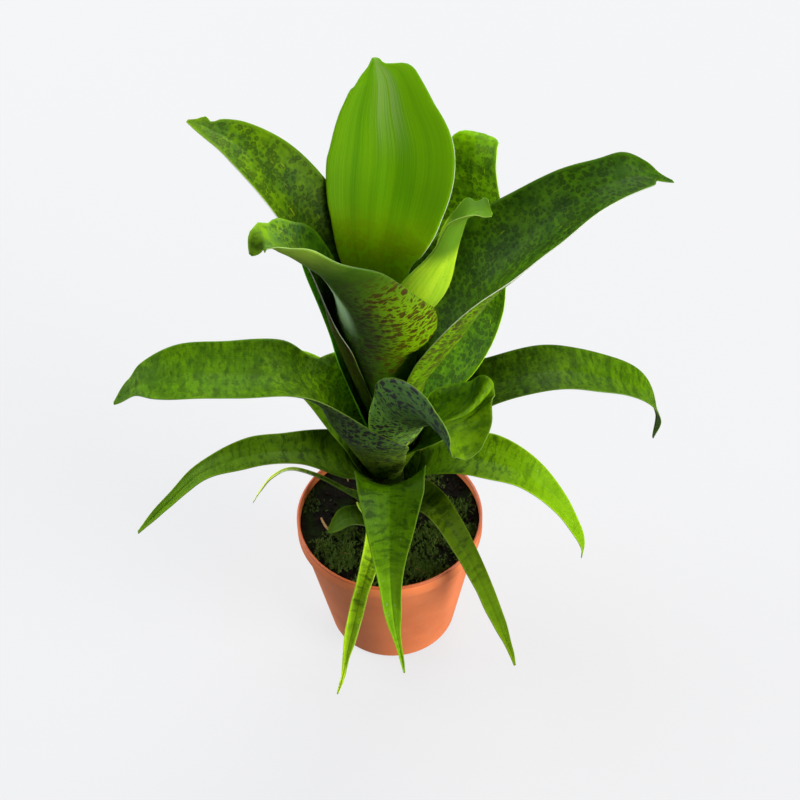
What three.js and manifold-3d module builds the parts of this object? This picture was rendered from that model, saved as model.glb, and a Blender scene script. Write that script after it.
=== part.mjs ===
// A small potted bromeliad: a rosette of arching strap leaves on a short stem,
// rooted in soil, in a tapered plastic nursery pot. Millimetres, +Z up.
// The origin is the centre of the pot's underside, and the front faces -Y.
import * as THREE from "three";
import { mergeVertices } from "three/addons/utils/BufferGeometryUtils.js";
import Module from "manifold-3d";

// Pot
const POT_HEIGHT = 47.3;
const POT_BASE_RADIUS = 19.6;
const POT_WALL_TOP_RADIUS = 27.0; // just under the collar
const POT_COLLAR_RADIUS = 28.1;
const POT_COLLAR_DEPTH = 5.4;
const POT_WALL = 0.9;
const POT_FLOOR = 1.3;
const POT_EDGE_BEVEL = 0.3;
const POT_FOOT_BEVEL = 0.9;
const POT_SIDES = 56;
const DRAIN_HOLES = 4;
const DRAIN_RADIUS = 2.4;
const DRAIN_RING = 11.5;
const DRAIN_SIDES = 16;

// Soil and stem
const GAP = 0.3; // between pieces that touch
const SOIL_EDGE = 42.6;
const SOIL_CROWN = 43.9;
const SOIL_CROWN_WIDTH = 4; // level ring round the stem's hole
const SOIL_SHOULDER = 1.5;
const SOIL_SIDES = 40;
const STEM_FOOT = 22;
const STEM_TOP = 116;
const STEM_RADIUS = 4.7;
const STEM_END_ROUND = 1.8;
const STEM_SIDES = 20;

// Leaves
const LEAF_THICKNESS = 0.66;
const SHEATH_FOOT_RADIUS = 5.4; // where a leaf's sheath leaves the stem
const TIP_WIDTH = 0.9;
const ROWS_PER_LEAF = 17;
const STRIPS_ACROSS = 10;
const MERGE_DISTANCE = 1e-4;
const UPPER_LEAF_BASE = 80; // leaves that start above this are the upper green

// Each leaf: heading is the direction it points, in degrees from +X towards +Y.
// base is the height where its sheath starts on the stem, sheath is the height
// of the sheath's cone, flare is the cone's slope, and wrap is how far round
// the stem it reaches, in degrees, at its foot and at its mouth.
// rows and strips, where given, are how finely the leaf is split.
// blade lists the stations of the midrib past the sheath, as
// [reach from the stem's axis, height, sway to the leaf's left as seen from
// above, width along the surface, cup in degrees of arc, roll in degrees].
const LEAVES = [
  {
    name: "leaf_old_small", heading: 203, base: 44.6, sheath: 5, flare: 0.8, wrap: [100, 70],
    rows: 10, strips: 6,
    blade: [
      [11.5, 51.5, 0, 9, 70, 0],
      [14, 52, -0.5, 7.5, 60, 0],
      [16.5, 50, -1, 5.5, 50, 0],
      [18.5, 47.7, -1.6, 2.5, 50, 0],
      [19.2, 46.7, -2, 1, 40, 0],
    ],
  },
  {
    name: "leaf_thin_back_left", heading: 165, base: 46, sheath: 7, flare: 0.5, wrap: [70, 45],
    rows: 12, strips: 6,
    blade: [
      [14.5, 55.5, 0, 4, 60, 0],
      [22, 59.5, 0, 3.4, 60, 0],
      [30, 60.5, 0, 3, 50, 0],
      [36.5, 55, 0, 2.4, 40, 0],
      [41, 47, 0, 1.8, 40, 0],
      [43.5, 41, 0, 1, 30, 0],
    ],
  },
  {
    name: "leaf_low_front_left", heading: 256, base: 48, sheath: 12, flare: 0.46, wrap: [170, 90],
    rows: 15, strips: 8,
    blade: [
      [15.5, 62, 1, 9, 70, 0],
      [21, 62, 1.6, 7, 90, 0],
      [28, 54, -0.2, 5.4, 95, 0],
      [32.5, 41, -2.5, 4.8, 90, 0],
      [35.5, 25, -5.2, 4.2, 85, 0],
      [37, 12, -7, 2.8, 70, 0],
      [37.5, 2.5, -9, 1, 50, 0],
    ],
  },
  {
    name: "leaf_low_front_right", heading: 313, base: 50.8, sheath: 15, flare: 0.43, wrap: [190, 68],
    rows: 15, strips: 10,
    blade: [
      [15.5, 68, -1.5, 14, 60, 0],
      [22, 70.5, -2, 10, 75, 0],
      [30, 64.5, -1.8, 8.2, 70, 0],
      [38.5, 48.5, 0, 6.3, 60, 0],
      [46, 33.5, 0.8, 4.4, 50, 0],
      [50.5, 25, 0.8, 2.9, 40, 0],
      [52.5, 20.5, 0.5, 1, 30, 0],
    ],
  },
  {
    name: "leaf_front", heading: 274, base: 53.5, sheath: 22, flare: 0.428, wrap: [170, 72],
    blade: [
      [17.5, 82, 0, 23.5, 104, 0],
      [22, 85.2, -0.8, 20.5, 80, 0],
      [30, 76, -2, 13.5, 70, 0],
      [35, 62, -2.6, 7.5, 60, 0],
      [39, 45, -2.2, 4.6, 50, 0],
      [42, 32, -0.6, 2.9, 40, 0],
      [43, 25.5, 0, 1, 30, 0],
    ],
  },
  {
    name: "leaf_low_right", heading: 342, base: 56.2, sheath: 20, flare: 0.425, wrap: [180, 54],
    rows: 15, strips: 10,
    blade: [
      [20, 80, 0.1, 15.4, 48, 0],
      [30, 81.5, 0, 18, 64, 0],
      [41, 79.5, 0, 13.5, 50, 0],
      [51, 70.5, 0, 9, 45, 0],
      [57.5, 58.5, 0, 5.5, 40, 0],
      [59.5, 52, 0, 3, 30, 0],
      [59.5, 47, 0, 1, 20, 0],
    ],
  },
  {
    name: "leaf_low_back_right", heading: 62, base: 58.9, sheath: 15, flare: 0.43, wrap: [180, 60],
    rows: 14, strips: 8,
    blade: [
      [17, 77, 0, 17, 60, 0],
      [26, 79, 0, 13, 60, 0],
      [35, 74, 0, 10, 60, 0],
      [42, 63, 0, 7, 50, 0],
      [46, 52, 0, 3.6, 40, 0],
      [47, 46, 0, 1, 30, 0],
    ],
  },
  {
    name: "leaf_low_left", heading: 190, base: 61.6, sheath: 15, flare: 0.43, wrap: [190, 110],
    rows: 15, strips: 8,
    blade: [
      [17.5, 78.5, 0, 20, 65, 0],
      [28, 83, 0, 13, 65, 0],
      [40, 84.5, 0, 11.5, 60, 0],
      [54, 80, 0, 7.5, 50, 0],
      [65, 69.5, 0, 4.6, 45, 0],
      [71, 63, 0, 3, 40, 0],
      [75, 58.5, 0, 1, 30, 0],
    ],
  },
  {
    name: "leaf_low_back_left", heading: 140, base: 64.3, sheath: 16, flare: 0.43, wrap: [190, 100],
    rows: 14, strips: 8,
    blade: [
      [17, 83, 0, 18, 60, 0],
      [27, 88, 0, 16, 60, 0],
      [38, 88, 0, 13, 55, 0],
      [47, 80, 0, 9, 50, 0],
      [52, 70, 0, 4.5, 40, 0],
      [54, 64, 0, 1, 30, 0],
    ],
  },
  {
    name: "leaf_low_back", heading: 98, base: 67, sheath: 15, flare: 0.43, wrap: [180, 100],
    rows: 14, strips: 8,
    blade: [
      [17, 85.5, 0, 18, 60, 0],
      [26, 88.5, 0, 15, 60, 0],
      [36, 85, 0, 12, 55, 0],
      [43, 75, 0, 8, 50, 0],
      [46.5, 64, 0, 4, 40, 0],
      [47, 57, 0, 1, 30, 0],
    ],
  },
  {
    name: "leaf_middle_left", heading: 187, base: 69.7, sheath: 28.5, flare: 0.415, wrap: [245, 200],
    blade: [
      [20, 104, 0, 33, 98, 14],
      [29, 111, -1.5, 28, 70, 8],
      [42, 114.5, -2.2, 22, 50, 0],
      [56, 116, -3, 20, 45, 0],
      [67, 113.5, -3.6, 13.5, 40, 0],
      [72.5, 109.5, -3.9, 6, 30, 0],
      [75.5, 106.5, -4.1, 1, 20, 0],
    ],
  },
  {
    name: "leaf_middle_right", heading: 5, base: 72.4, sheath: 14, flare: 0.43, wrap: [190, 130],
    rows: 15, strips: 8,
    blade: [
      [19, 92, 0, 27, 80, 0],
      [30, 100, 0, 19, 60, 0],
      [46, 104, 0, 18, 50, 0],
      [62, 100, 0, 16, 45, 0],
      [74, 93, 0, 13, 40, 0],
      [79.5, 82, 0, 7, 30, 0],
      [79, 71, 0, 1, 20, 0],
    ],
  },
  {
    name: "leaf_back_right", heading: 50, base: 75.1, sheath: 17, flare: 0.42, wrap: [150, 70],
    blade: [
      [25, 101, -2.5, 27, 60, 0],
      [36, 113, -3, 28, 60, 0],
      [41, 127, -1, 26, 55, 0],
      [44, 142, 2, 23, 50, 0],
      [46.3, 152.5, 4.2, 19.5, 50, 0],
      [49, 157.5, 5.2, 15, 45, 0],
      [52, 158, 6, 8, 40, 0],
      [54, 157, 6.4, 1, 30, 0],
    ],
  },
  {
    name: "leaf_middle_front", heading: 315, base: 78, sheath: 20.5, flare: 0.43, wrap: [130, 116],
    blade: [
      [19.3, 104.3, -1.2, 37, 152, -28],
      [23, 109.3, -2.9, 42.5, 149, -33],
      [27.5, 109.6, -3.4, 38, 132, -31],
      [31.5, 107.8, -3.4, 26, 105, -22],
      [34, 106, -3.8, 12.5, 75, -10],
      [35.5, 104.8, -4.5, 1, 40, 0],
    ],
  },
  {
    name: "leaf_upper_right", heading: 20, base: 84, sheath: 30, flare: 0.26, wrap: [200, 180],
    blade: [
      [23, 123, -0.4, 50, 158, -12],
      [32.5, 136, -0.4, 42, 118, -10],
      [44.5, 147.5, 0, 29, 70, -3],
      [58, 155.5, 0, 21.5, 50, 0],
      [72, 158, 0, 14, 45, 0],
      [79, 156, 0, 8, 45, 0],
      [82, 154, 0, 4, 40, 0],
      [86, 151.5, 0, 1, 30, 0],
    ],
  },
  {
    name: "leaf_back_left", heading: 127, base: 88, sheath: 27, flare: 0.25, wrap: [180, 130],
    rows: 15, strips: 8,
    blade: [
      [15.5, 120, 0, 20, 90, 0],
      [22, 130, 0, 18, 70, 0],
      [29, 139, 0, 14, 50, 0],
      [34, 143, 0, 9, 40, 0],
      [38, 143, 0, 1, 30, 0],
    ],
  },
  {
    name: "leaf_upper_left", heading: 150, base: 96, sheath: 36, flare: 0.24, wrap: [200, 160],
    blade: [
      [15.5, 140, 0, 28, 110, 0],
      [23, 157, -1.2, 24, 76, 0],
      [33, 170, -0.9, 20.5, 62, 0],
      [43, 177, -0.5, 14, 50, 0],
      [51, 179, 0, 7, 40, 0],
      [55, 179, 0, 3, 30, 0],
      [57, 179, 0, 1, 30, 0],
    ],
  },
  {
    name: "leaf_funnel", heading: 238, base: 101, sheath: 30, flare: 0.235, wrap: [200, 204],
    blade: [
      [13.6, 137, 2.2, 44.5, 176, -1],
      [15.2, 144, 2.2, 44.4, 171, -5],
      [17.3, 152.5, 0.7, 36.5, 149, -8],
      [20.3, 162.5, -3.7, 33, 126, -16],
      [24, 169.5, -8.5, 29.5, 105, -20],
      [26.8, 174.4, -13.6, 23.5, 80, -20],
      [28.3, 175.8, -16.2, 10, 60, -14],
      [29.8, 171.3, -19.2, 1, 30, -18],
    ],
  },
  {
    name: "leaf_crown_back", heading: 86, base: 106, sheath: 30, flare: 0.195, wrap: [180, 70],
    blade: [
      [14, 144, 0.9, 23.4, 72, 0],
      [19.2, 154, -0.6, 32.4, 66, 0],
      [26.5, 166, -2.2, 35, 49, 0],
      [33.8, 175, -0.9, 27.6, 40, 0],
      [39.2, 180.8, -0.1, 19, 30, 0],
      [43, 183.3, 1.6, 10, 20, 0],
      [45, 184.3, 2.6, 3, 10, 0],
      [46, 184, 3.2, 1, 10, 0],
    ],
  },
  {
    name: "leaf_heart", heading: 316, base: 111, sheath: 24, flare: 0.185, wrap: [184, 168],
    blade: [
      [14, 141.5, 4.4, 30.8, 166, 4],
      [16.8, 148.4, 6.6, 32.6, 162, 10],
      [18.4, 157.6, 8, 27, 154, 16],
      [20.4, 168.4, 9, 18.3, 124, 22],
      [22, 175.7, 9.8, 13.5, 90, 15],
      [25, 178.2, 11.5, 6, 60, 0],
      [27.5, 177.3, 13, 1, 30, 0],
    ],
  },
];

const DEGREE = Math.PI / 180;

const GREEN_UPPER = new THREE.Color(0x4f8a10);
const GREEN_LOWER = new THREE.Color(0x3f7420);
const GREEN_YOUNG = new THREE.Color(0x8fbf22);
const STEM_GREEN = new THREE.Color(0x6f8a3a);
const TERRACOTTA = new THREE.Color(0xd9763f);
const SOIL_DARK = new THREE.Color(0x1d1710);

// Smooth curve through the rows of a table, one value of the parameter for
// each row: cubic between rows, with the slope at a row taken from its
// neighbours.
function sampleRows(params, rows, at) {
  let i = 0;
  while (i < params.length - 2 && at > params[i + 1]) i += 1;
  const step = params[i + 1] - params[i];
  const s = (at - params[i]) / step;
  const slope = (k, c) => {
    const lo = Math.max(k - 1, 0);
    const hi = Math.min(k + 1, params.length - 1);
    return (rows[hi][c] - rows[lo][c]) / (params[hi] - params[lo]);
  };
  return rows[i].map((value, c) => {
    const next = rows[i + 1][c];
    return (
      (2 * s ** 3 - 3 * s ** 2 + 1) * value +
      (s ** 3 - 2 * s ** 2 + s) * step * slope(i, c) +
      (-2 * s ** 3 + 3 * s ** 2) * next +
      (s ** 3 - s ** 2) * step * slope(i + 1, c)
    );
  });
}

// The leaf's stations from its foot to its tip, as [reach, sway, height,
// width, cup, roll]: four on the sheath's cone, then the blade's own.
function leafStations(leaf) {
  const rows = [0, 0.35, 0.7, 1].map((part) => {
    const radius = SHEATH_FOOT_RADIUS + leaf.flare * leaf.sheath * part;
    const wrap = leaf.wrap[0] + (leaf.wrap[1] - leaf.wrap[0]) * part;
    return [radius, 0, leaf.base + leaf.sheath * part, radius * wrap * DEGREE, wrap, 0];
  });
  for (const [reach, height, sway, width, cup, roll] of leaf.blade) {
    rows.push([reach, sway, height, width, cup, roll]);
  }
  return rows;
}

// Points of the leaf's middle surface: one row of points across the leaf for
// each step along its midrib. Each row is an arc whose ends rise to the
// leaf's upper side; on the sheath the arc is level and centred on the stem.
function leafSurface(leaf, rowCount, across) {
  const rows = leafStations(leaf);
  const params = [0];
  for (let i = 1; i < rows.length; i += 1) {
    const [a, b] = [rows[i - 1], rows[i]];
    params.push(params[i - 1] + Math.hypot(a[0] - b[0], a[1] - b[1], a[2] - b[2]));
  }
  const length = params[params.length - 1];
  const midrib = (at) => {
    const row = sampleRows(params, rows, Math.min(Math.max(at, 0), length));
    return new THREE.Vector3(row[0], row[1], row[2]);
  };
  const surface = [];
  for (let i = 0; i <= rowCount; i += 1) {
    const at = (i / rowCount) ** 0.93 * length;
    const [, , , width, cup, roll] = sampleRows(params, rows, at);
    const along = midrib(at + 0.01).sub(midrib(at - 0.01)).normalize();
    const side = new THREE.Vector3(0, 1, 0);
    side.addScaledVector(along, -side.dot(along)).normalize();
    const square = new THREE.Vector3().crossVectors(along, side);
    const blend = THREE.MathUtils.smoothstep(at, params[3], params[5]);
    const up = new THREE.Vector3(-1, 0, 0).lerp(square, blend).normalize();
    const c = Math.cos(roll * DEGREE);
    const s = Math.sin(roll * DEGREE);
    const rolledSide = side.clone().multiplyScalar(c).addScaledVector(up, s);
    const rolledUp = up.clone().multiplyScalar(c).addScaledVector(side, -s);
    const arc = Math.max(cup, 1) * DEGREE;
    const radius = Math.max(width, TIP_WIDTH) / arc;
    const centre = midrib(at);
    surface.push(
      Array.from({ length: across + 1 }, (_, j) => {
        const angle = ((2 * j) / across - 1) * (arc / 2);
        return centre
          .clone()
          .addScaledVector(rolledSide, radius * Math.sin(angle))
          .addScaledVector(rolledUp, radius * (1 - Math.cos(angle)));
      }),
    );
  }
  return surface;
}

// Thickens a surface of rows and columns into one closed body, split into
// triangles alike on both faces.
function thickenSurface(surface, thickness) {
  const rowCount = surface.length - 1;
  const across = surface[0].length - 1;
  const at = (i, j) =>
    surface[Math.min(Math.max(i, 0), rowCount)][Math.min(Math.max(j, 0), across)];
  const positions = [];
  for (const half of [thickness / 2, -thickness / 2]) {
    for (let i = 0; i <= rowCount; i += 1) {
      for (let j = 0; j <= across; j += 1) {
        const along = at(i + 1, j).clone().sub(at(i - 1, j));
        const cross = at(i, j + 1).clone().sub(at(i, j - 1));
        const normal = along.cross(cross).normalize();
        positions.push(...at(i, j).clone().addScaledVector(normal, half).toArray());
      }
    }
  }
  const face = (rowCount + 1) * (across + 1);
  const index = [];
  const quad = (a, b, c, d) => index.push(a, b, c, a, c, d);
  for (let i = 0; i < rowCount; i += 1) {
    for (let j = 0; j < across; j += 1) {
      const a = i * (across + 1) + j;
      const [b, c, d] = [a + across + 1, a + across + 2, a + 1];
      quad(a, b, c, d);
      index.push(face + a, face + c, face + b, face + a, face + d, face + c);
    }
  }
  for (let i = 0; i < rowCount; i += 1) {
    const left = i * (across + 1);
    const right = left + across;
    const next = across + 1;
    quad(left, face + left, face + left + next, left + next);
    quad(right, right + next, face + right + next, face + right);
  }
  for (let j = 0; j < across; j += 1) {
    const foot = j;
    const tip = rowCount * (across + 1) + j;
    quad(foot, foot + 1, face + foot + 1, face + foot);
    quad(tip, face + tip, face + tip + 1, tip + 1);
  }
  const geometry = new THREE.BufferGeometry();
  geometry.setAttribute("position", new THREE.Float32BufferAttribute(positions, 3));
  geometry.setIndex(index);
  geometry.computeVertexNormals();
  return geometry;
}

function makeLeaf(leaf) {
  const surface = leafSurface(leaf, leaf.rows ?? ROWS_PER_LEAF, leaf.strips ?? STRIPS_ACROSS);
  return thickenSurface(surface, LEAF_THICKNESS);
}

// Turned body from [radius, height] pairs, stood up along +Z.
function makeTurned(profile, sides) {
  const points = profile.map(([radius, height]) => new THREE.Vector2(radius, height));
  const geometry = new THREE.LatheGeometry(points, sides);
  geometry.rotateX(Math.PI / 2);
  return geometry;
}

function toSolid(wasm, geometry) {
  const bare = geometry.clone();
  bare.deleteAttribute("normal");
  bare.deleteAttribute("uv");
  const merged = mergeVertices(bare, MERGE_DISTANCE);
  return new wasm.Manifold(
    new wasm.Mesh({
      numProp: 3,
      vertProperties: new Float32Array(merged.attributes.position.array),
      triVerts: new Uint32Array(merged.index.array),
    }),
  );
}

function fromSolid(solid) {
  const mesh = solid.getMesh();
  const geometry = new THREE.BufferGeometry();
  geometry.setAttribute("position", new THREE.BufferAttribute(mesh.vertProperties, 3));
  geometry.setIndex(new THREE.BufferAttribute(mesh.triVerts, 1));
  geometry.computeVertexNormals();
  return geometry;
}

// Radius of the pot's inner wall at a height.
function potInnerRadius(height) {
  const wallTop = POT_HEIGHT - POT_COLLAR_DEPTH;
  const slope = (POT_WALL_TOP_RADIUS - POT_BASE_RADIUS) / wallTop;
  return POT_BASE_RADIUS + slope * height - POT_WALL;
}

function makePot(wasm) {
  const wallTop = POT_HEIGHT - POT_COLLAR_DEPTH;
  const rimInner = POT_COLLAR_RADIUS - POT_WALL;
  const shell = makeTurned(
    [
      [0, 0],
      [POT_BASE_RADIUS - POT_FOOT_BEVEL, 0],
      [POT_BASE_RADIUS, POT_FOOT_BEVEL],
      [POT_WALL_TOP_RADIUS, wallTop],
      [POT_COLLAR_RADIUS - POT_EDGE_BEVEL, wallTop + POT_EDGE_BEVEL],
      [POT_COLLAR_RADIUS, POT_HEIGHT - POT_EDGE_BEVEL],
      [POT_COLLAR_RADIUS - POT_EDGE_BEVEL, POT_HEIGHT],
      [rimInner + POT_EDGE_BEVEL, POT_HEIGHT],
      [rimInner, POT_HEIGHT - POT_EDGE_BEVEL],
      [rimInner, wallTop + POT_WALL],
      [potInnerRadius(wallTop), wallTop],
      [potInnerRadius(POT_FLOOR), POT_FLOOR],
      [0, POT_FLOOR],
    ],
    POT_SIDES,
  );
  let pot = toSolid(wasm, shell);
  for (let i = 0; i < DRAIN_HOLES; i += 1) {
    const turn = ((i + 0.5) / DRAIN_HOLES) * 2 * Math.PI;
    const drill = new THREE.CylinderGeometry(
      DRAIN_RADIUS,
      DRAIN_RADIUS,
      4 * POT_FLOOR,
      DRAIN_SIDES,
    );
    drill.rotateX(Math.PI / 2);
    drill.translate(DRAIN_RING * Math.cos(turn), DRAIN_RING * Math.sin(turn), POT_FLOOR / 2);
    pot = pot.subtract(toSolid(wasm, drill));
  }
  return fromSolid(pot);
}

// Soil fills the pot and has a plain hole where the stem stands.
function makeSoil() {
  const floor = POT_FLOOR + GAP;
  const hole = STEM_RADIUS + GAP;
  const edge = potInnerRadius(SOIL_EDGE - SOIL_SHOULDER) - GAP;
  return makeTurned(
    [
      [0, floor],
      [potInnerRadius(floor) - GAP, floor],
      [edge, SOIL_EDGE - SOIL_SHOULDER],
      [edge - GAP, SOIL_EDGE],
      [(edge + hole) / 2, (SOIL_EDGE + SOIL_CROWN) / 2],
      [hole + SOIL_CROWN_WIDTH, SOIL_CROWN],
      [hole, SOIL_CROWN],
      [hole, STEM_FOOT - GAP],
      [0, STEM_FOOT - GAP],
    ],
    SOIL_SIDES,
  );
}

function makeStem() {
  return makeTurned(
    [
      [0, STEM_FOOT],
      [STEM_RADIUS - STEM_END_ROUND, STEM_FOOT],
      [STEM_RADIUS, STEM_FOOT + STEM_END_ROUND],
      [STEM_RADIUS, STEM_TOP - 3 * STEM_END_ROUND],
      [STEM_RADIUS - STEM_END_ROUND, STEM_TOP - STEM_END_ROUND],
      [0, STEM_TOP],
    ],
    STEM_SIDES,
  );
}

function makeMesh(name, geometry, color, roughness) {
  const material = new THREE.MeshStandardMaterial({ color, roughness, metalness: 0 });
  const mesh = new THREE.Mesh(geometry, material);
  mesh.name = name;
  return mesh;
}

function leafColor(leaf) {
  if (leaf.name === "leaf_heart") return GREEN_YOUNG;
  return leaf.base > UPPER_LEAF_BASE ? GREEN_UPPER : GREEN_LOWER;
}

const wasm = await Module();
wasm.setup();

const plant = new THREE.Group();
plant.add(makeMesh("pot", makePot(wasm), TERRACOTTA, 0.55));
plant.add(makeMesh("soil", makeSoil(), SOIL_DARK, 0.95));
plant.add(makeMesh("stem", makeStem(), STEM_GREEN, 0.6));
for (const leaf of LEAVES) {
  const mesh = makeMesh(leaf.name, makeLeaf(leaf), leafColor(leaf), 0.35);
  mesh.rotation.z = leaf.heading * DEGREE;
  plant.add(mesh);
}

export default plant;
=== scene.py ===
import math
import random

import bmesh
import bpy
from mathutils import Matrix, Vector, noise


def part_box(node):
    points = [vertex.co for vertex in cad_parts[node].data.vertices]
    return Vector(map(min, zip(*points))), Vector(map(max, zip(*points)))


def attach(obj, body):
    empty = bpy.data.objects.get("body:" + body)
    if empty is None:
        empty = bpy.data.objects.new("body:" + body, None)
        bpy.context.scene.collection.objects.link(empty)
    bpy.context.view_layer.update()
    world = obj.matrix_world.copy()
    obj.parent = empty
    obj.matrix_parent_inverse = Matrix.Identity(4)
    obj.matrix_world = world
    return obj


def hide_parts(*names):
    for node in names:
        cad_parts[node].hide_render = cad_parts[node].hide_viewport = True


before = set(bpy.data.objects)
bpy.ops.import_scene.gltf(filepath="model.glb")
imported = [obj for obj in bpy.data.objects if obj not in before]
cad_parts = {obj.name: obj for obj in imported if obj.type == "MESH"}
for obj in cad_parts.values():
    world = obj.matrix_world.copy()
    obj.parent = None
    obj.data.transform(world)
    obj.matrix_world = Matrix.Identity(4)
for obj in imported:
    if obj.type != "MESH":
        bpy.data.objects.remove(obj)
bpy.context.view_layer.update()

bl_info = {
    "name": "Potted Bromeliad",
    "version": (1, 0, 0),
    "blender": (4, 5, 0),
    "location": "3D View > Sidebar > Bromeliad",
    "description": "A small mottled bromeliad in a terracotta-coloured nursery pot",
    "category": "Object",
}

MM = 0.001
POT_LOW, POT_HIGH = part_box("pot")
SOIL_LOW, SOIL_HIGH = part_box("soil")
STEM_LOW, STEM_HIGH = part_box("stem")


# Sizes and colours that a user would change


def colour(name, description, *default):
    return bpy.props.FloatVectorProperty(
        name=name, description=description, default=default,
        subtype="COLOR", size=3, min=0, max=1,
    )


def length(name, description, default):
    return bpy.props.FloatProperty(
        name=name, description=description, default=default, unit="LENGTH", precision=5,
    )


class PotSettings(bpy.types.PropertyGroup):
    height: length("Height", "From the foot to the rim", POT_HIGH[2])
    collar_radius: length("Collar radius", "Outer radius of the collar", POT_HIGH[0])
    wall_top_radius: length("Wall radius", "Outer radius of the wall just under the collar", 0.0270)
    base_radius: length("Base radius", "Outer radius of the foot", 0.0196)
    collar_depth: length("Collar depth", "How far the collar reaches down from the rim", 0.0054)
    wall: length("Wall", "Thickness of the plastic", 0.0009)
    plastic: colour("Plastic", "Terracotta-coloured plastic", 0.90, 0.240, 0.074)
    plastic_deep: colour(
        "Deeper plastic", "The redder plastic of the rim and the wall's clouds", 0.50, 0.095, 0.022
    )


class SoilSettings(bpy.types.PropertyGroup):
    peat: colour("Peat", "Damp dark potting mix", 0.0035, 0.003, 0.002)
    peat_dry: colour("Dry crumb", "Crumbs that have dried brown", 0.018, 0.011, 0.006)
    moss: colour("Moss", "Young shoots of the moss", 0.080, 0.145, 0.005)
    moss_deep: colour("Deep moss", "Older moss, low in the tufts", 0.007, 0.018, 0.001)
    straw: colour("Straw", "Dry scraps on the soil", 0.42, 0.25, 0.085)
    crumbs: bpy.props.IntProperty(
        name="Crumbs", description="How many crumbs lie on the soil", default=420, min=0,
    )
    shoots: bpy.props.IntProperty(
        name="Moss shoots", description="How many shoots the moss has", default=5200, min=0,
    )


class LeafSettings(bpy.types.PropertyGroup):
    thickness: length("Thickness", "Thickness of a blade at its midrib", 0.00055)
    rows: bpy.props.IntProperty(
        name="Rows", description="Steps along a leaf", default=110, min=8,
    )
    strips: bpy.props.IntProperty(
        name="Strips", description="Steps across a leaf", default=34, min=4,
    )
    bright: colour("Bright green", "The leaf that stands up at the back", 0.150, 0.365, 0.001)
    young: colour("Young green", "The youngest leaf", 0.40, 0.66, 0.010)
    upper: colour("Upper green", "Upper faces of the mottled leaves", 0.080, 0.195, 0.001)
    outside: colour("Outside green", "Outer faces of the upper leaves", 0.130, 0.260, 0.008)
    middle: colour("Middle green", "Outer faces of the middle leaves", 0.085, 0.200, 0.030)
    low: colour("Low green", "The leaves that hang over the pot", 0.135, 0.290, 0.002)
    blotch: colour("Blotch", "Dark blotches on the upper faces", 0.010, 0.026, 0.002)
    red_brown: colour("Red-brown dash", "Dashes on the outside of the funnel", 0.160, 0.030, 0.003)
    purple: colour("Purple dash", "Dashes on the sheaths of the middle leaves", 0.018, 0.014, 0.020)
    margin: colour("Margin", "The pale line along a leaf's edge", 0.17, 0.32, 0.012)


class StageSettings(bpy.types.PropertyGroup):
    floor: colour("Floor", "Pale studio floor", 0.12, 0.12, 0.1225)
    key_power: bpy.props.FloatProperty(
        name="Key light", description="Power of the big soft light", default=15.5, unit="POWER",
    )
    fill_power: bpy.props.FloatProperty(
        name="Fill light", description="Power of the broad light at the left", default=12.0,
        unit="POWER",
    )
    sky: bpy.props.FloatProperty(
        name="Room", description="Brightness of the white room", default=0.24, min=0,
    )


# Shader maths written as sums


class Wire:
    """A value in a material, so that sums and products can be written plainly."""

    def __init__(self, finish, socket):
        self.finish = finish
        self.socket = socket

    def maths(self, operation, *values, clamp=False):
        settings = {"operation": operation, "use_clamp": clamp}
        return self.finish.add("ShaderNodeMath", settings, dict(enumerate(values)))

    def __add__(self, other):
        return self.maths("ADD", self, other)

    def __radd__(self, other):
        return self.maths("ADD", other, self)

    def __sub__(self, other):
        return self.maths("SUBTRACT", self, other)

    def __rsub__(self, other):
        return self.maths("SUBTRACT", other, self)

    def __mul__(self, other):
        return self.maths("MULTIPLY", self, other)

    def __rmul__(self, other):
        return self.maths("MULTIPLY", other, self)

    def clamped(self):
        return self.maths("ADD", self, 0.0, clamp=True)

    def larger(self, other):
        return self.maths("MAXIMUM", self, other)

    def absolute(self):
        return self.maths("ABSOLUTE", self)

    def sine(self):
        return self.maths("SINE", self)

    def step(self, start, end):
        """Rises smoothly from 0 at start to 1 at end; end may be the smaller one."""
        settings = {"interpolation_type": "SMOOTHSTEP"}
        inputs = {"Value": self, "From Min": start, "From Max": end}
        return self.finish.add("ShaderNodeMapRange", settings, inputs)


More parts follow.
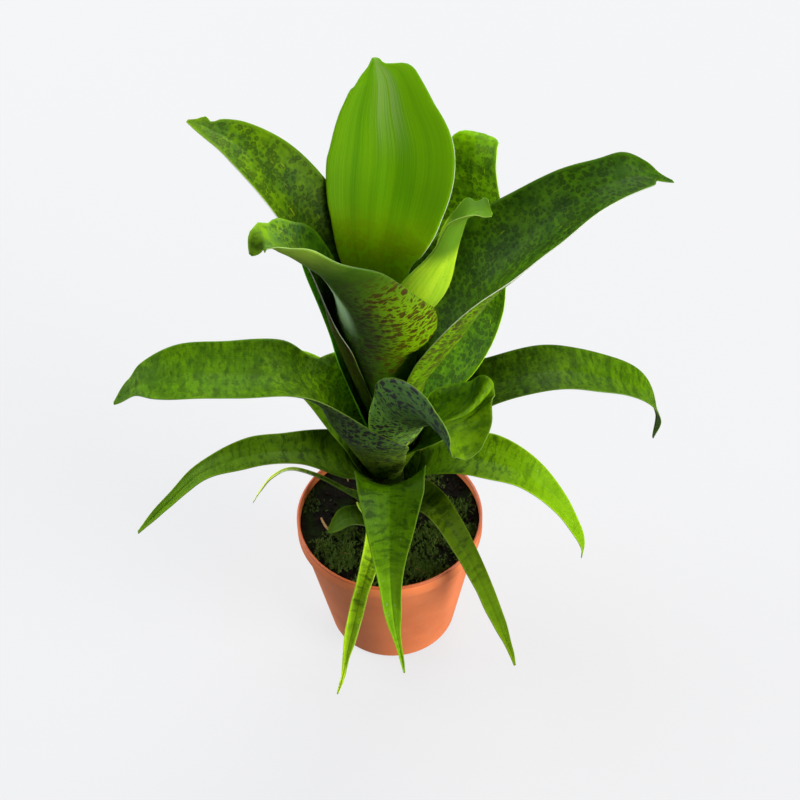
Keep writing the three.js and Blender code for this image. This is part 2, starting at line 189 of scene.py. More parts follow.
class Finish:
    """A material that is wired step by step."""

    def __init__(self, name):
        self.material = bpy.data.materials.new(name)
        self.material.use_nodes = True
        self.tree = self.material.node_tree
        self.tree.nodes.clear()

    def add(self, kind, settings=None, inputs=None, output=0):
        """Adds a node, sets it up, fills its inputs and returns one output as a wire."""
        node = self.tree.nodes.new(kind)
        for key, value in (settings or {}).items():
            setattr(node, key, value)
        for key, value in (inputs or {}).items():
            if isinstance(value, Wire):
                self.tree.links.new(value.socket, node.inputs[key])
            else:
                node.inputs[key].default_value = value
        return Wire(self, node.outputs[output])

    def place(self):
        """The place on the object, in metres."""
        return self.add("ShaderNodeTexCoord", output=3)

    def height(self, place):
        return self.add("ShaderNodeSeparateXYZ", None, {"Vector": place}, output=2)

    def attribute(self, name, output):
        return self.add("ShaderNodeAttribute", {"attribute_name": name}, output=output)

    def stretched(self, vector, scale, shift=0.0):
        inputs = {"Vector": vector, "Location": (shift, shift, 0), "Scale": scale}
        return self.add("ShaderNodeMapping", None, inputs)

    def noise(self, vector, scale, detail=2.0, roughness=0.5):
        inputs = {"Vector": vector, "Scale": scale, "Detail": detail, "Roughness": roughness}
        return self.add("ShaderNodeTexNoise", {"noise_dimensions": "3D"}, inputs)

    def cells(self, vector, randomness):
        """Distance to the nearest of scattered points, and a number of its own for each point."""
        settings = {"voronoi_dimensions": "2D", "feature": "F1"}
        inputs = {"Vector": vector, "Scale": 1.0, "Randomness": randomness}
        distance = self.add("ShaderNodeTexVoronoi", settings, inputs)
        colour = Wire(self, distance.socket.node.outputs["Color"])
        own = self.add("ShaderNodeSeparateColor", None, {"Color": colour})
        return distance, own

    def mixed(self, amount, first, second, blend="MIX"):
        first = first if isinstance(first, Wire) else (*first, 1.0)
        second = second if isinstance(second, Wire) else (*second, 1.0)
        settings = {"data_type": "RGBA", "blend_type": blend}
        inputs = {0: amount, 6: first, 7: second}
        return self.add("ShaderNodeMix", settings, inputs, output=2)

    def base(self, amount, first, second):
        """Starts the material's colour with a mix of two."""
        self.colour = self.mixed(amount, first, second)

    def coat(self, amount, tint):
        """Lays a tint over the colour so far, where the amount is above 0."""
        self.colour = self.mixed(amount, self.colour, tint)

    def vectors(self, operation, inputs):
        return self.add("ShaderNodeVectorMath", {"operation": operation}, inputs)

    def warped(self, vector, scale, amount):
        """The same place, pushed about by noise."""
        settings = {"noise_dimensions": "3D"}
        inputs = {"Vector": vector, "Scale": scale}
        push = self.add("ShaderNodeTexNoise", settings, inputs, output=1)
        push = self.vectors("SUBTRACT", {0: push, 1: (0.5, 0.5, 0.5)})
        push = self.vectors("SCALE", {0: push, "Scale": amount})
        return self.vectors("ADD", {0: vector, 1: push})

    def surface(self, roughness, bump=None, depth=0.0001, **constants):
        """Ends the material with one shader in the colour that was built up."""
        inputs = {"Base Color": self.colour, "Roughness": roughness}
        if bump:
            lumps = {"Height": bump, "Distance": depth, "Strength": 1.0}
            inputs["Normal"] = self.add("ShaderNodeBump", None, lumps)
        for key, value in constants.items():
            inputs[key.replace("_", " ").title().replace("Ior", "IOR")] = value
        shader = self.add("ShaderNodeBsdfPrincipled", None, inputs)
        output = self.tree.nodes.new("ShaderNodeOutputMaterial")
        self.tree.links.new(shader.socket, output.inputs["Surface"])
        return self.material


# Common steps


def mesh_of(name, bm):
    mesh = bpy.data.meshes.new(name)
    bm.to_mesh(mesh)
    bm.free()
    return mesh


def placed(name, data):
    """An object of the scene with the given data."""
    thing = bpy.data.objects.new(name, data)
    bpy.context.scene.collection.objects.link(thing)
    return thing


def hand_over(name, bm, materials, slot, *nodes):
    """Turns a bmesh into the finished piece that stands for its nodes."""
    piece = placed(name, mesh_of(name, bm))
    for material in materials:
        piece.data.materials.append(material)
    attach(piece, "root")
    if nodes:
        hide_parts(*nodes)
    return piece


def smooth_faces(bm):
    for face in bm.faces:
        face.smooth = True


def turned(profile, steps):
    """Spins a profile of radii and heights round the vertical axis into a closed body."""
    bm = bmesh.new()
    verts = [bm.verts.new((radius, 0, height)) for radius, height in profile]
    edges = [bm.edges.new(pair) for pair in zip(verts, verts[1:])]
    bmesh.ops.spin(
        bm, geom=verts + edges, cent=(0, 0, 0), axis=(0, 0, 1),
        angle=2 * math.pi, steps=steps, use_merge=True, use_duplicate=False,
    )
    bmesh.ops.remove_doubles(bm, verts=bm.verts, dist=1e-6)
    bmesh.ops.recalc_face_normals(bm, faces=bm.faces)
    smooth_faces(bm)
    return bm


def smooth_rows(marks, rows, at):
    """Smooth curve through the rows of a table; each row's slope comes from its neighbours."""
    i = 0
    while i < len(marks) - 2 and at > marks[i + 1]:
        i += 1
    gap = marks[i + 1] - marks[i]
    s = (at - marks[i]) / gap

    def slope(k, column):
        low, high = max(k - 1, 0), min(k + 1, len(marks) - 1)
        return (rows[high][column] - rows[low][column]) / (marks[high] - marks[low])

    values = []
    for column, value in enumerate(rows[i]):
        values.append(
            (2 * s**3 - 3 * s**2 + 1) * value
            + (s**3 - 2 * s**2 + s) * gap * slope(i, column)
            + (-2 * s**3 + 3 * s**2) * rows[i + 1][column]
            + (s**3 - s**2) * gap * slope(i + 1, column)
        )
    return values


def smoothstep(value, start, end):
    t = min(max((value - start) / (end - start), 0.0), 1.0)
    return t * t * (3 - 2 * t)


# The pot

POT_FLOOR = 1.3 * MM
DRAIN_HOLES = 4
DRAIN_RING = 11.5 * MM  # radius of the circle that the holes lie on
DRAIN_RADIUS = 2.4 * MM
MOULD_RING_PITCH = 0.55 * MM


def pot_plastic():
    """Matte moulded plastic: faint rings from the mould, scuffs and a redder rim."""
    pot = bpy.context.scene.bromeliad_pot
    f = Finish("terracotta plastic")
    place = f.place()
    height = f.height(place)
    clouds = f.noise(place, 60, 4, 0.6)
    scuffs = f.noise(f.stretched(place, (1, 1, 0.25)), 900, 3, 0.6)
    f.base(clouds.step(0.35, 0.75) * 0.35, pot.plastic, pot.plastic_deep)
    lip = height.step(pot.height - 1.1 * MM, pot.height - 0.3 * MM)
    f.coat(lip * 0.85, pot.plastic_deep)
    dusty = f.noise(place, 220, 5, 0.65).step(0.56, 0.74)
    f.coat(dusty * 0.18, (0.62, 0.42, 0.31))
    f.coat(scuffs.step(0.66, 0.72) * 0.25, (0.72, 0.45, 0.32))
    rings = (height * (2 * math.pi / MOULD_RING_PITCH)).sine()
    bump = rings * 0.12 + clouds * 0.6 + scuffs * 0.35
    roughness = 0.42 + clouds * 0.16 + dusty * 0.1
    return f.surface(roughness, bump, 0.00006, specular_ior_level=0.45)


def pot_profile(pot):
    """Radii and heights from the middle of the underside, over the rim, to the floor's middle."""
    wall_top = pot.height - pot.collar_depth
    slope = (pot.wall_top_radius - pot.base_radius) / wall_top
    rim_inside = pot.collar_radius - pot.wall
    round_foot = 0.9 * MM
    return [
        (0, 0.0),
        (pot.base_radius - 4.2 * MM, 0.0),
        (pot.base_radius - round_foot, 0.0),
        (pot.base_radius, round_foot),
        (pot.wall_top_radius, wall_top),
        (pot.collar_radius - 0.25 * MM, wall_top + 0.15 * MM),
        (pot.collar_radius, wall_top + 0.6 * MM),
        (pot.collar_radius, pot.height - 0.3 * MM),
        (pot.collar_radius - 0.3 * MM, pot.height),
        (rim_inside + 0.3 * MM, pot.height),
        (rim_inside, pot.height - 0.3 * MM),
        (rim_inside, wall_top + pot.wall),
        (pot.wall_top_radius - pot.wall, wall_top),
        (pot.base_radius - pot.wall + slope * POT_FLOOR, POT_FLOOR),
        (0, POT_FLOOR),
    ]


def drain_drills():
    """A drill for each drain hole, as one bmesh."""
    bm = bmesh.new()
    for i in range(DRAIN_HOLES):
        turn = (i + 0.5) / DRAIN_HOLES * 2 * math.pi
        x, y = DRAIN_RING * math.cos(turn), DRAIN_RING * math.sin(turn)
        bmesh.ops.create_cone(
            bm, cap_ends=True, segments=32, radius1=DRAIN_RADIUS, radius2=DRAIN_RADIUS,
            depth=4 * POT_FLOOR, matrix=Matrix.Translation((x, y, POT_FLOOR / 2)),
        )
    return bm


def cut(piece, bm):
    """Takes the shape of the bmesh out of the piece."""
    tool = placed("drill", mesh_of("drill", bm))
    drilling = piece.modifiers.new("drilling", "BOOLEAN")
    drilling.operation = "DIFFERENCE"
    drilling.solver = "EXACT"
    drilling.object = tool
    shaped = piece.evaluated_get(bpy.context.evaluated_depsgraph_get())
    result = bpy.data.meshes.new_from_object(shaped)
    piece.modifiers.clear()
    old, piece.data = piece.data, result
    result.name = old.name
    bpy.data.meshes.remove(old)
    bpy.data.objects.remove(tool)


class PLANT_OT_pot(bpy.types.Operator):
    """Turn the pot and drill the drain holes in its floor"""

    bl_idname = "plant.pot"
    bl_label = "Pot"

    def execute(self, context):
        body = turned(pot_profile(context.scene.bromeliad_pot), 144)
        piece = hand_over("pot_turned", body, [pot_plastic()], "pot", "pot")
        cut(piece, drain_drills())
        rounding = piece.modifiers.new("rounded edges", "BEVEL")
        rounding.width = 0.12 * MM
        rounding.segments = 2
        rounding.limit_method = "ANGLE"
        rounding.angle_limit = math.radians(32)
        return {"FINISHED"}


# Soil, moss and straw

SOIL_RISE = 1.4 * MM  # how far the lumps reach above the top of the plain body
SOIL_GAP = 0.3 * MM  # between the soil and the pot's wall
SOIL_SHOULDER = 41.1 * MM  # where the soil stops following the wall
CRUMB_REACH = 25.2 * MM
CRUMB_SEED = 11
MOSS_TUFTS = 60
MOSS_REACH = 26.0 * MM  # of a tuft's middle
MOSS_INNER, MOSS_OUTER = 5.6 * MM, 26.5 * MM  # where a shoot may stand
STRAW_THICKNESS = 0.28  # in millimetres, like the lengths and widths below


def ground_height(x, y):
    """Height of the soil's surface: lumpy, a little lower towards the wall and even at the rim."""
    reach = math.hypot(x, y)
    fall = smoothstep(reach, 9 * MM, 26 * MM) * 0.35 * MM
    lumps = noise.fractal(Vector((x, y, 0.0)) * 260, 1.0, 2.0, 4) * 0.55 * MM
    fine = noise.noise(Vector((x, y, 0.7)) * 1500) * 0.18 * MM
    rough = (lumps + fine) * (1 - smoothstep(reach, 25.6 * MM, 26.8 * MM))
    return SOIL_HIGH[2] + SOIL_RISE - 0.45 * MM - fall + rough


def soil_finish():
    """Damp peat with dry fibres and a green film where the moss grows."""
    soil = bpy.context.scene.bromeliad_soil
    f = Finish("damp peat")
    place = f.place()
    crumbs = f.noise(place, 900, 6, 0.7)
    patches = f.noise(place, 150, 4, 0.6)
    f.base(crumbs.step(0.45, 0.75), soil.peat, soil.peat_dry)
    fibre = f.noise(f.stretched(f.warped(place, 300, 0.002), (1, 0.12, 1)), 1800)
    fibre = fibre.step(0.66, 0.74)
    f.coat(fibre * 0.4, (0.07, 0.040, 0.018))
    f.coat(patches.step(0.45, 0.62) * 0.75, soil.moss_deep)
    roughness = 0.95 - crumbs * 0.2
    return f.surface(roughness, crumbs + fibre * 0.4, 0.0006, specular_ior_level=0.06)


def crumb_finish():
    """Single crumbs of peat and bark, each of its own brown."""
    soil = bpy.context.scene.bromeliad_soil
    f = Finish("peat crumbs")
    place = f.place()
    lump = f.noise(place, 350, 1)
    grain = f.noise(place, 2600, 4, 0.7)
    f.base(lump.step(0.4, 0.68), soil.peat, soil.peat_dry)
    f.coat(grain.step(0.55, 0.8) * 0.3, (0.08, 0.045, 0.02))
    return f.surface(0.98 - grain * 0.15, grain, 0.0003, specular_ior_level=0.08)


def moss_finish():
    """Tiny moss leaves, fresher at their tips."""
    soil = bpy.context.scene.bromeliad_soil
    f = Finish("moss")
    tone = f.attribute("shoot_tone", 2)
    place = f.place()
    drift = f.noise(place, 140, 2)
    f.base((tone * 0.75 + drift * 0.5).clamped(), soil.moss_deep, soil.moss)
    f.coat(drift.step(0.6, 0.8) * 0.5, (0.21, 0.20, 0.025))
    return f.surface(0.62 + drift * 0.15, f.noise(place, 3000), 0.0001, specular_ior_level=0.4)


def straw_finish():
    """Dry straw with fine lengthwise fibres."""
    soil = bpy.context.scene.bromeliad_soil
    f = Finish("straw")
    place = f.place()
    fibres = f.noise(place, 4200, 3, 0.7)
    f.base(fibres.step(0.3, 0.75), soil.straw, (0.17, 0.085, 0.03))
    return f.surface(0.72 + fibres * 0.15, fibres, 0.00015, specular_ior_level=0.35)


def lay_soil():
    """The soil, spun and then given its lumpy top, which reaches over the collar's ledge."""
    pot = bpy.context.scene.bromeliad_pot
    wall_top = pot.height - pot.collar_depth
    slope = (pot.wall_top_radius - pot.base_radius) / wall_top
    floor = POT_FLOOR + SOIL_GAP
    inside = pot.base_radius - pot.wall - SOIL_GAP
    edge = inside + slope * SOIL_SHOULDER - 0.1 * MM
    ledge = wall_top + pot.wall + 0.06 * MM
    brim = pot.collar_radius - pot.wall - 0.12 * MM
    top = ledge + 0.3 * MM
    profile = [
        (0, floor),
        (inside + slope * floor, floor),
        (inside + slope * 0.5 * SOIL_SHOULDER, 0.5 * SOIL_SHOULDER),
        (edge, SOIL_SHOULDER),
        (edge, ledge),
        (brim, ledge),
        (brim, top),
    ]
    rings = 36
    profile += [(brim * (1 - i / rings) ** 0.92, top) for i in range(1, rings)]
    profile.append((0, top))
    bm = turned(profile, 150)
    for vert in bm.verts:
        if vert.co.z > top - 0.05 * MM:
            vert.co.z = ground_height(vert.co.x, vert.co.y)
    hand_over("soil_surface", bm, [soil_finish()], "soil", "soil")


def scatter_crumbs():
    """Crumbs of peat pressed into the surface."""
    chance = random.Random(CRUMB_SEED)
    noise.seed_set(CRUMB_SEED)  # noise_vector starts from the clock unless it is seeded
    bm = bmesh.new()
    for _ in range(bpy.context.scene.bromeliad_soil.crumbs):
        reach = CRUMB_REACH * math.sqrt(chance.uniform(0.06, 1.0))
        turn = chance.uniform(0, 2 * math.pi)
        x, y = reach * math.cos(turn), reach * math.sin(turn)
        size = 0.28 * MM + 0.75 * MM * chance.random() ** 2.5
        place = Matrix.Translation((x, y, ground_height(x, y) + 0.15 * size))
        angle = chance.uniform(0, 6.3)
        spin = Matrix.Rotation(angle, 4, Vector((chance.random(), chance.random(), 1)))
        long, broad = chance.uniform(0.7, 1.3), chance.uniform(0.6, 1.0)
        flat = Matrix.Diagonal((long, broad, chance.uniform(0.45, 0.8), 1))
        made = bmesh.ops.create_icosphere(
            bm, subdivisions=1, radius=size, matrix=place @ spin @ flat
        )
        for vert in made["verts"]:
            vert.co += noise.noise_vector(vert.co * 2200) * 0.3 * size
    hand_over("soil_crumbs", bm, [crumb_finish()], "soil")


def moss_shoot(blades):
    """One shoot of moss: a whorl of pointed leaves, as a small mesh to be repeated."""
    chance = random.Random(3)
    bm = bmesh.new()
    tone = bm.verts.layers.float.new("shoot_tone")
    for k in range(blades):
        part = k / (blades - 1)
        swing = Matrix.Rotation(k * 2.4 + 0.5 * chance.random(), 4, "Z")
        spread_out = Matrix.Rotation(math.radians(62 - 45 * part), 4, "X")
        up = Matrix.Translation((0, 0, (0.2 + 0.75 * part) * MM))
        flat = Matrix.Diagonal((1, 0.4, 1, 1))
        local = up @ swing @ spread_out @ flat @ Matrix.Translation((0, 0, 0.4 * MM))
        made = bmesh.ops.create_cone(
            bm, cap_ends=False, segments=3, radius1=0.14 * MM, radius2=0.0,
            depth=0.8 * MM, matrix=local,
        )
        for vert in made["verts"]:
            vert[tone] = 0.15 + 0.75 * part
    bmesh.ops.remove_doubles(bm, verts=bm.verts, dist=1e-7)
    return mesh_of("moss shoot", bm)


def grow_moss():
    """Tufts of moss, each with many leaning shoots."""
    chance = random.Random(5)
    tufts = []
    while len(tufts) < MOSS_TUFTS:
        turn = chance.uniform(0, 2 * math.pi)
        reach = MOSS_REACH * math.sqrt(chance.uniform(0.10, 1.0))
        bare_back = math.sin(turn) > -0.2 and chance.random() < 0.8
        if not bare_back:
            spread = chance.uniform(1.4, 4.2) * MM
            tufts.append((reach * math.cos(turn), reach * math.sin(turn), spread))
    shoot = moss_shoot(7)
    bm = bmesh.new()
    for i in range(bpy.context.scene.bromeliad_soil.shoots):
        cx, cy, spread = tufts[i % len(tufts)]
        x = cx + chance.gauss(0, 0.55) * spread
        y = cy + chance.gauss(0, 0.55) * spread
        if not MOSS_INNER < math.hypot(x, y) < MOSS_OUTER:
            continue
        lean_axis = Vector((chance.uniform(-1, 1), chance.uniform(-1, 1), 0.01))
        lean = Matrix.Rotation(chance.uniform(0, 0.8), 4, lean_axis)
        turn = Matrix.Rotation(chance.uniform(0, 2 * math.pi), 4, "Z")
        size = Matrix.Scale(chance.uniform(0.6, 1.4), 4)
        foot = Matrix.Translation((x, y, ground_height(x, y) - 0.15 * MM))
        copy = shoot.copy()
        copy.transform(foot @ lean @ turn @ size)
        bm.from_mesh(copy)
        bpy.data.meshes.remove(copy)
    bpy.data.meshes.remove(shoot)
    hand_over("moss_shoots", bm, [moss_finish()], "soil")


STRAWS = [
    # x, y, turn in degrees, length, width; all lengths in millimetres
    (-19.6, -2.0, -62, 6.6, 0.75),
    (8.6, -20.3, -28, 3.6, 0.55),
    (-13.0, 17.0, 110, 4.2, 0.45),
    (19.5, -6.0, 75, 3.0, 0.4),
    (-13.5, -13.0, 160, 3.2, 0.35),
]


def one_straw(length, width):
    """A flattened scrap along X, thinner at its ends and slightly bent."""
    bm = bmesh.new()
    bmesh.ops.create_cube(bm, size=1.0)
    bmesh.ops.scale(bm, vec=(length * MM, width * MM, STRAW_THICKNESS * MM), verts=bm.verts)
    long_edges = [e for e in bm.edges if abs((e.verts[0].co - e.verts[1].co).x) > 0.5 * length * MM]
    bmesh.ops.subdivide_edges(bm, edges=long_edges, cuts=9, use_grid_fill=True)
    for vert in bm.verts:
        far = vert.co.x / (0.5 * length * MM)
        vert.co.y = vert.co.y * (1 - 0.35 * far * far) + 0.06 * length * MM * far * far
        vert.co.z *= 1 - 0.3 * abs(far)
    smooth_faces(bm)
    return mesh_of("straw", bm)


def drop_straws():
    """Scraps of straw lying on the soil."""
    bm = bmesh.new()
    for x, y, turn, length, width in STRAWS:
        aim = Matrix.Rotation(math.radians(turn), 4, "Z")
        reach = aim @ Vector((0.4 * length * MM, 0, 0))
        middle = Vector((x, y, 0)) * MM
        ends = [ground_height(*(middle + reach).xy), ground_height(*(middle - reach).xy)]
        height = max(*ends, ground_height(*middle.xy)) + 0.5 * MM
        straw = one_straw(length, width)
        straw.transform(Matrix.Translation((middle.x, middle.y, height)) @ aim)
        bm.from_mesh(straw)
        bpy.data.meshes.remove(straw)
    hand_over("straw_scraps", bm, [straw_finish()], "soil")


class PLANT_OT_soil(bpy.types.Operator):
    """Lay the soil and its crumbs"""

    bl_idname = "plant.soil"
    bl_label = "Soil"

    def execute(self, context):
        lay_soil()
        scatter_crumbs()
        return {"FINISHED"}


class PLANT_OT_moss(bpy.types.Operator):
    """Grow the moss and drop the scraps of straw"""

    bl_idname = "plant.moss"
    bl_label = "Moss and straw"

    def execute(self, context):
        grow_moss()
        drop_straws()
        return {"FINISHED"}


# The stem


def stem_finish():
    """Pale stem with brown scars where old leaves came off."""
    f = Finish("stem skin")
    place = f.place()
    height = f.height(place)
    fibres = f.noise(f.stretched(place, (1, 1, 0.06)), 1500, 4, 0.6)
    scars = f.noise(f.stretched(place, (0.15, 0.15, 1)), 420, 3, 0.6)
    f.base(fibres.step(0.3, 0.7), (0.16, 0.22, 0.05), (0.26, 0.27, 0.10))
    f.coat(scars.step(0.5, 0.6) * 0.8, (0.10, 0.055, 0.025))
    f.coat(height.step(0.056, 0.042) * 0.8, (0.05, 0.03, 0.015))
    return f.surface(0.7 + fibres * 0.15, scars * 1.5 + fibres, 0.0003)


class PLANT_OT_stem(bpy.types.Operator):
    """Turn the stem that the sheaths wrap"""

    bl_idname = "plant.stem"
    bl_label = "Stem"

    def execute(self, context):
        foot, top, radius = STEM_LOW[2], STEM_HIGH[2], STEM_HIGH[0]
        rounded = 1.8 * MM
        profile = [(0, foot), (radius - rounded, foot), (radius, foot + rounded)]
        steps = 60
        for i in range(1, steps):
            height = foot + rounded + (top - 3 * rounded - foot - rounded) * i / steps
            ridge = 0.10 * MM * abs(math.sin(height / MM * 1.3))
            profile.append((radius - ridge, height))
        profile += [(radius, top - 3 * rounded), (radius - rounded, top - rounded), (0, top)]
        hand_over("stem_skin", turned(profile, 40), [stem_finish()], "stem", "stem")
        return {"FINISHED"}
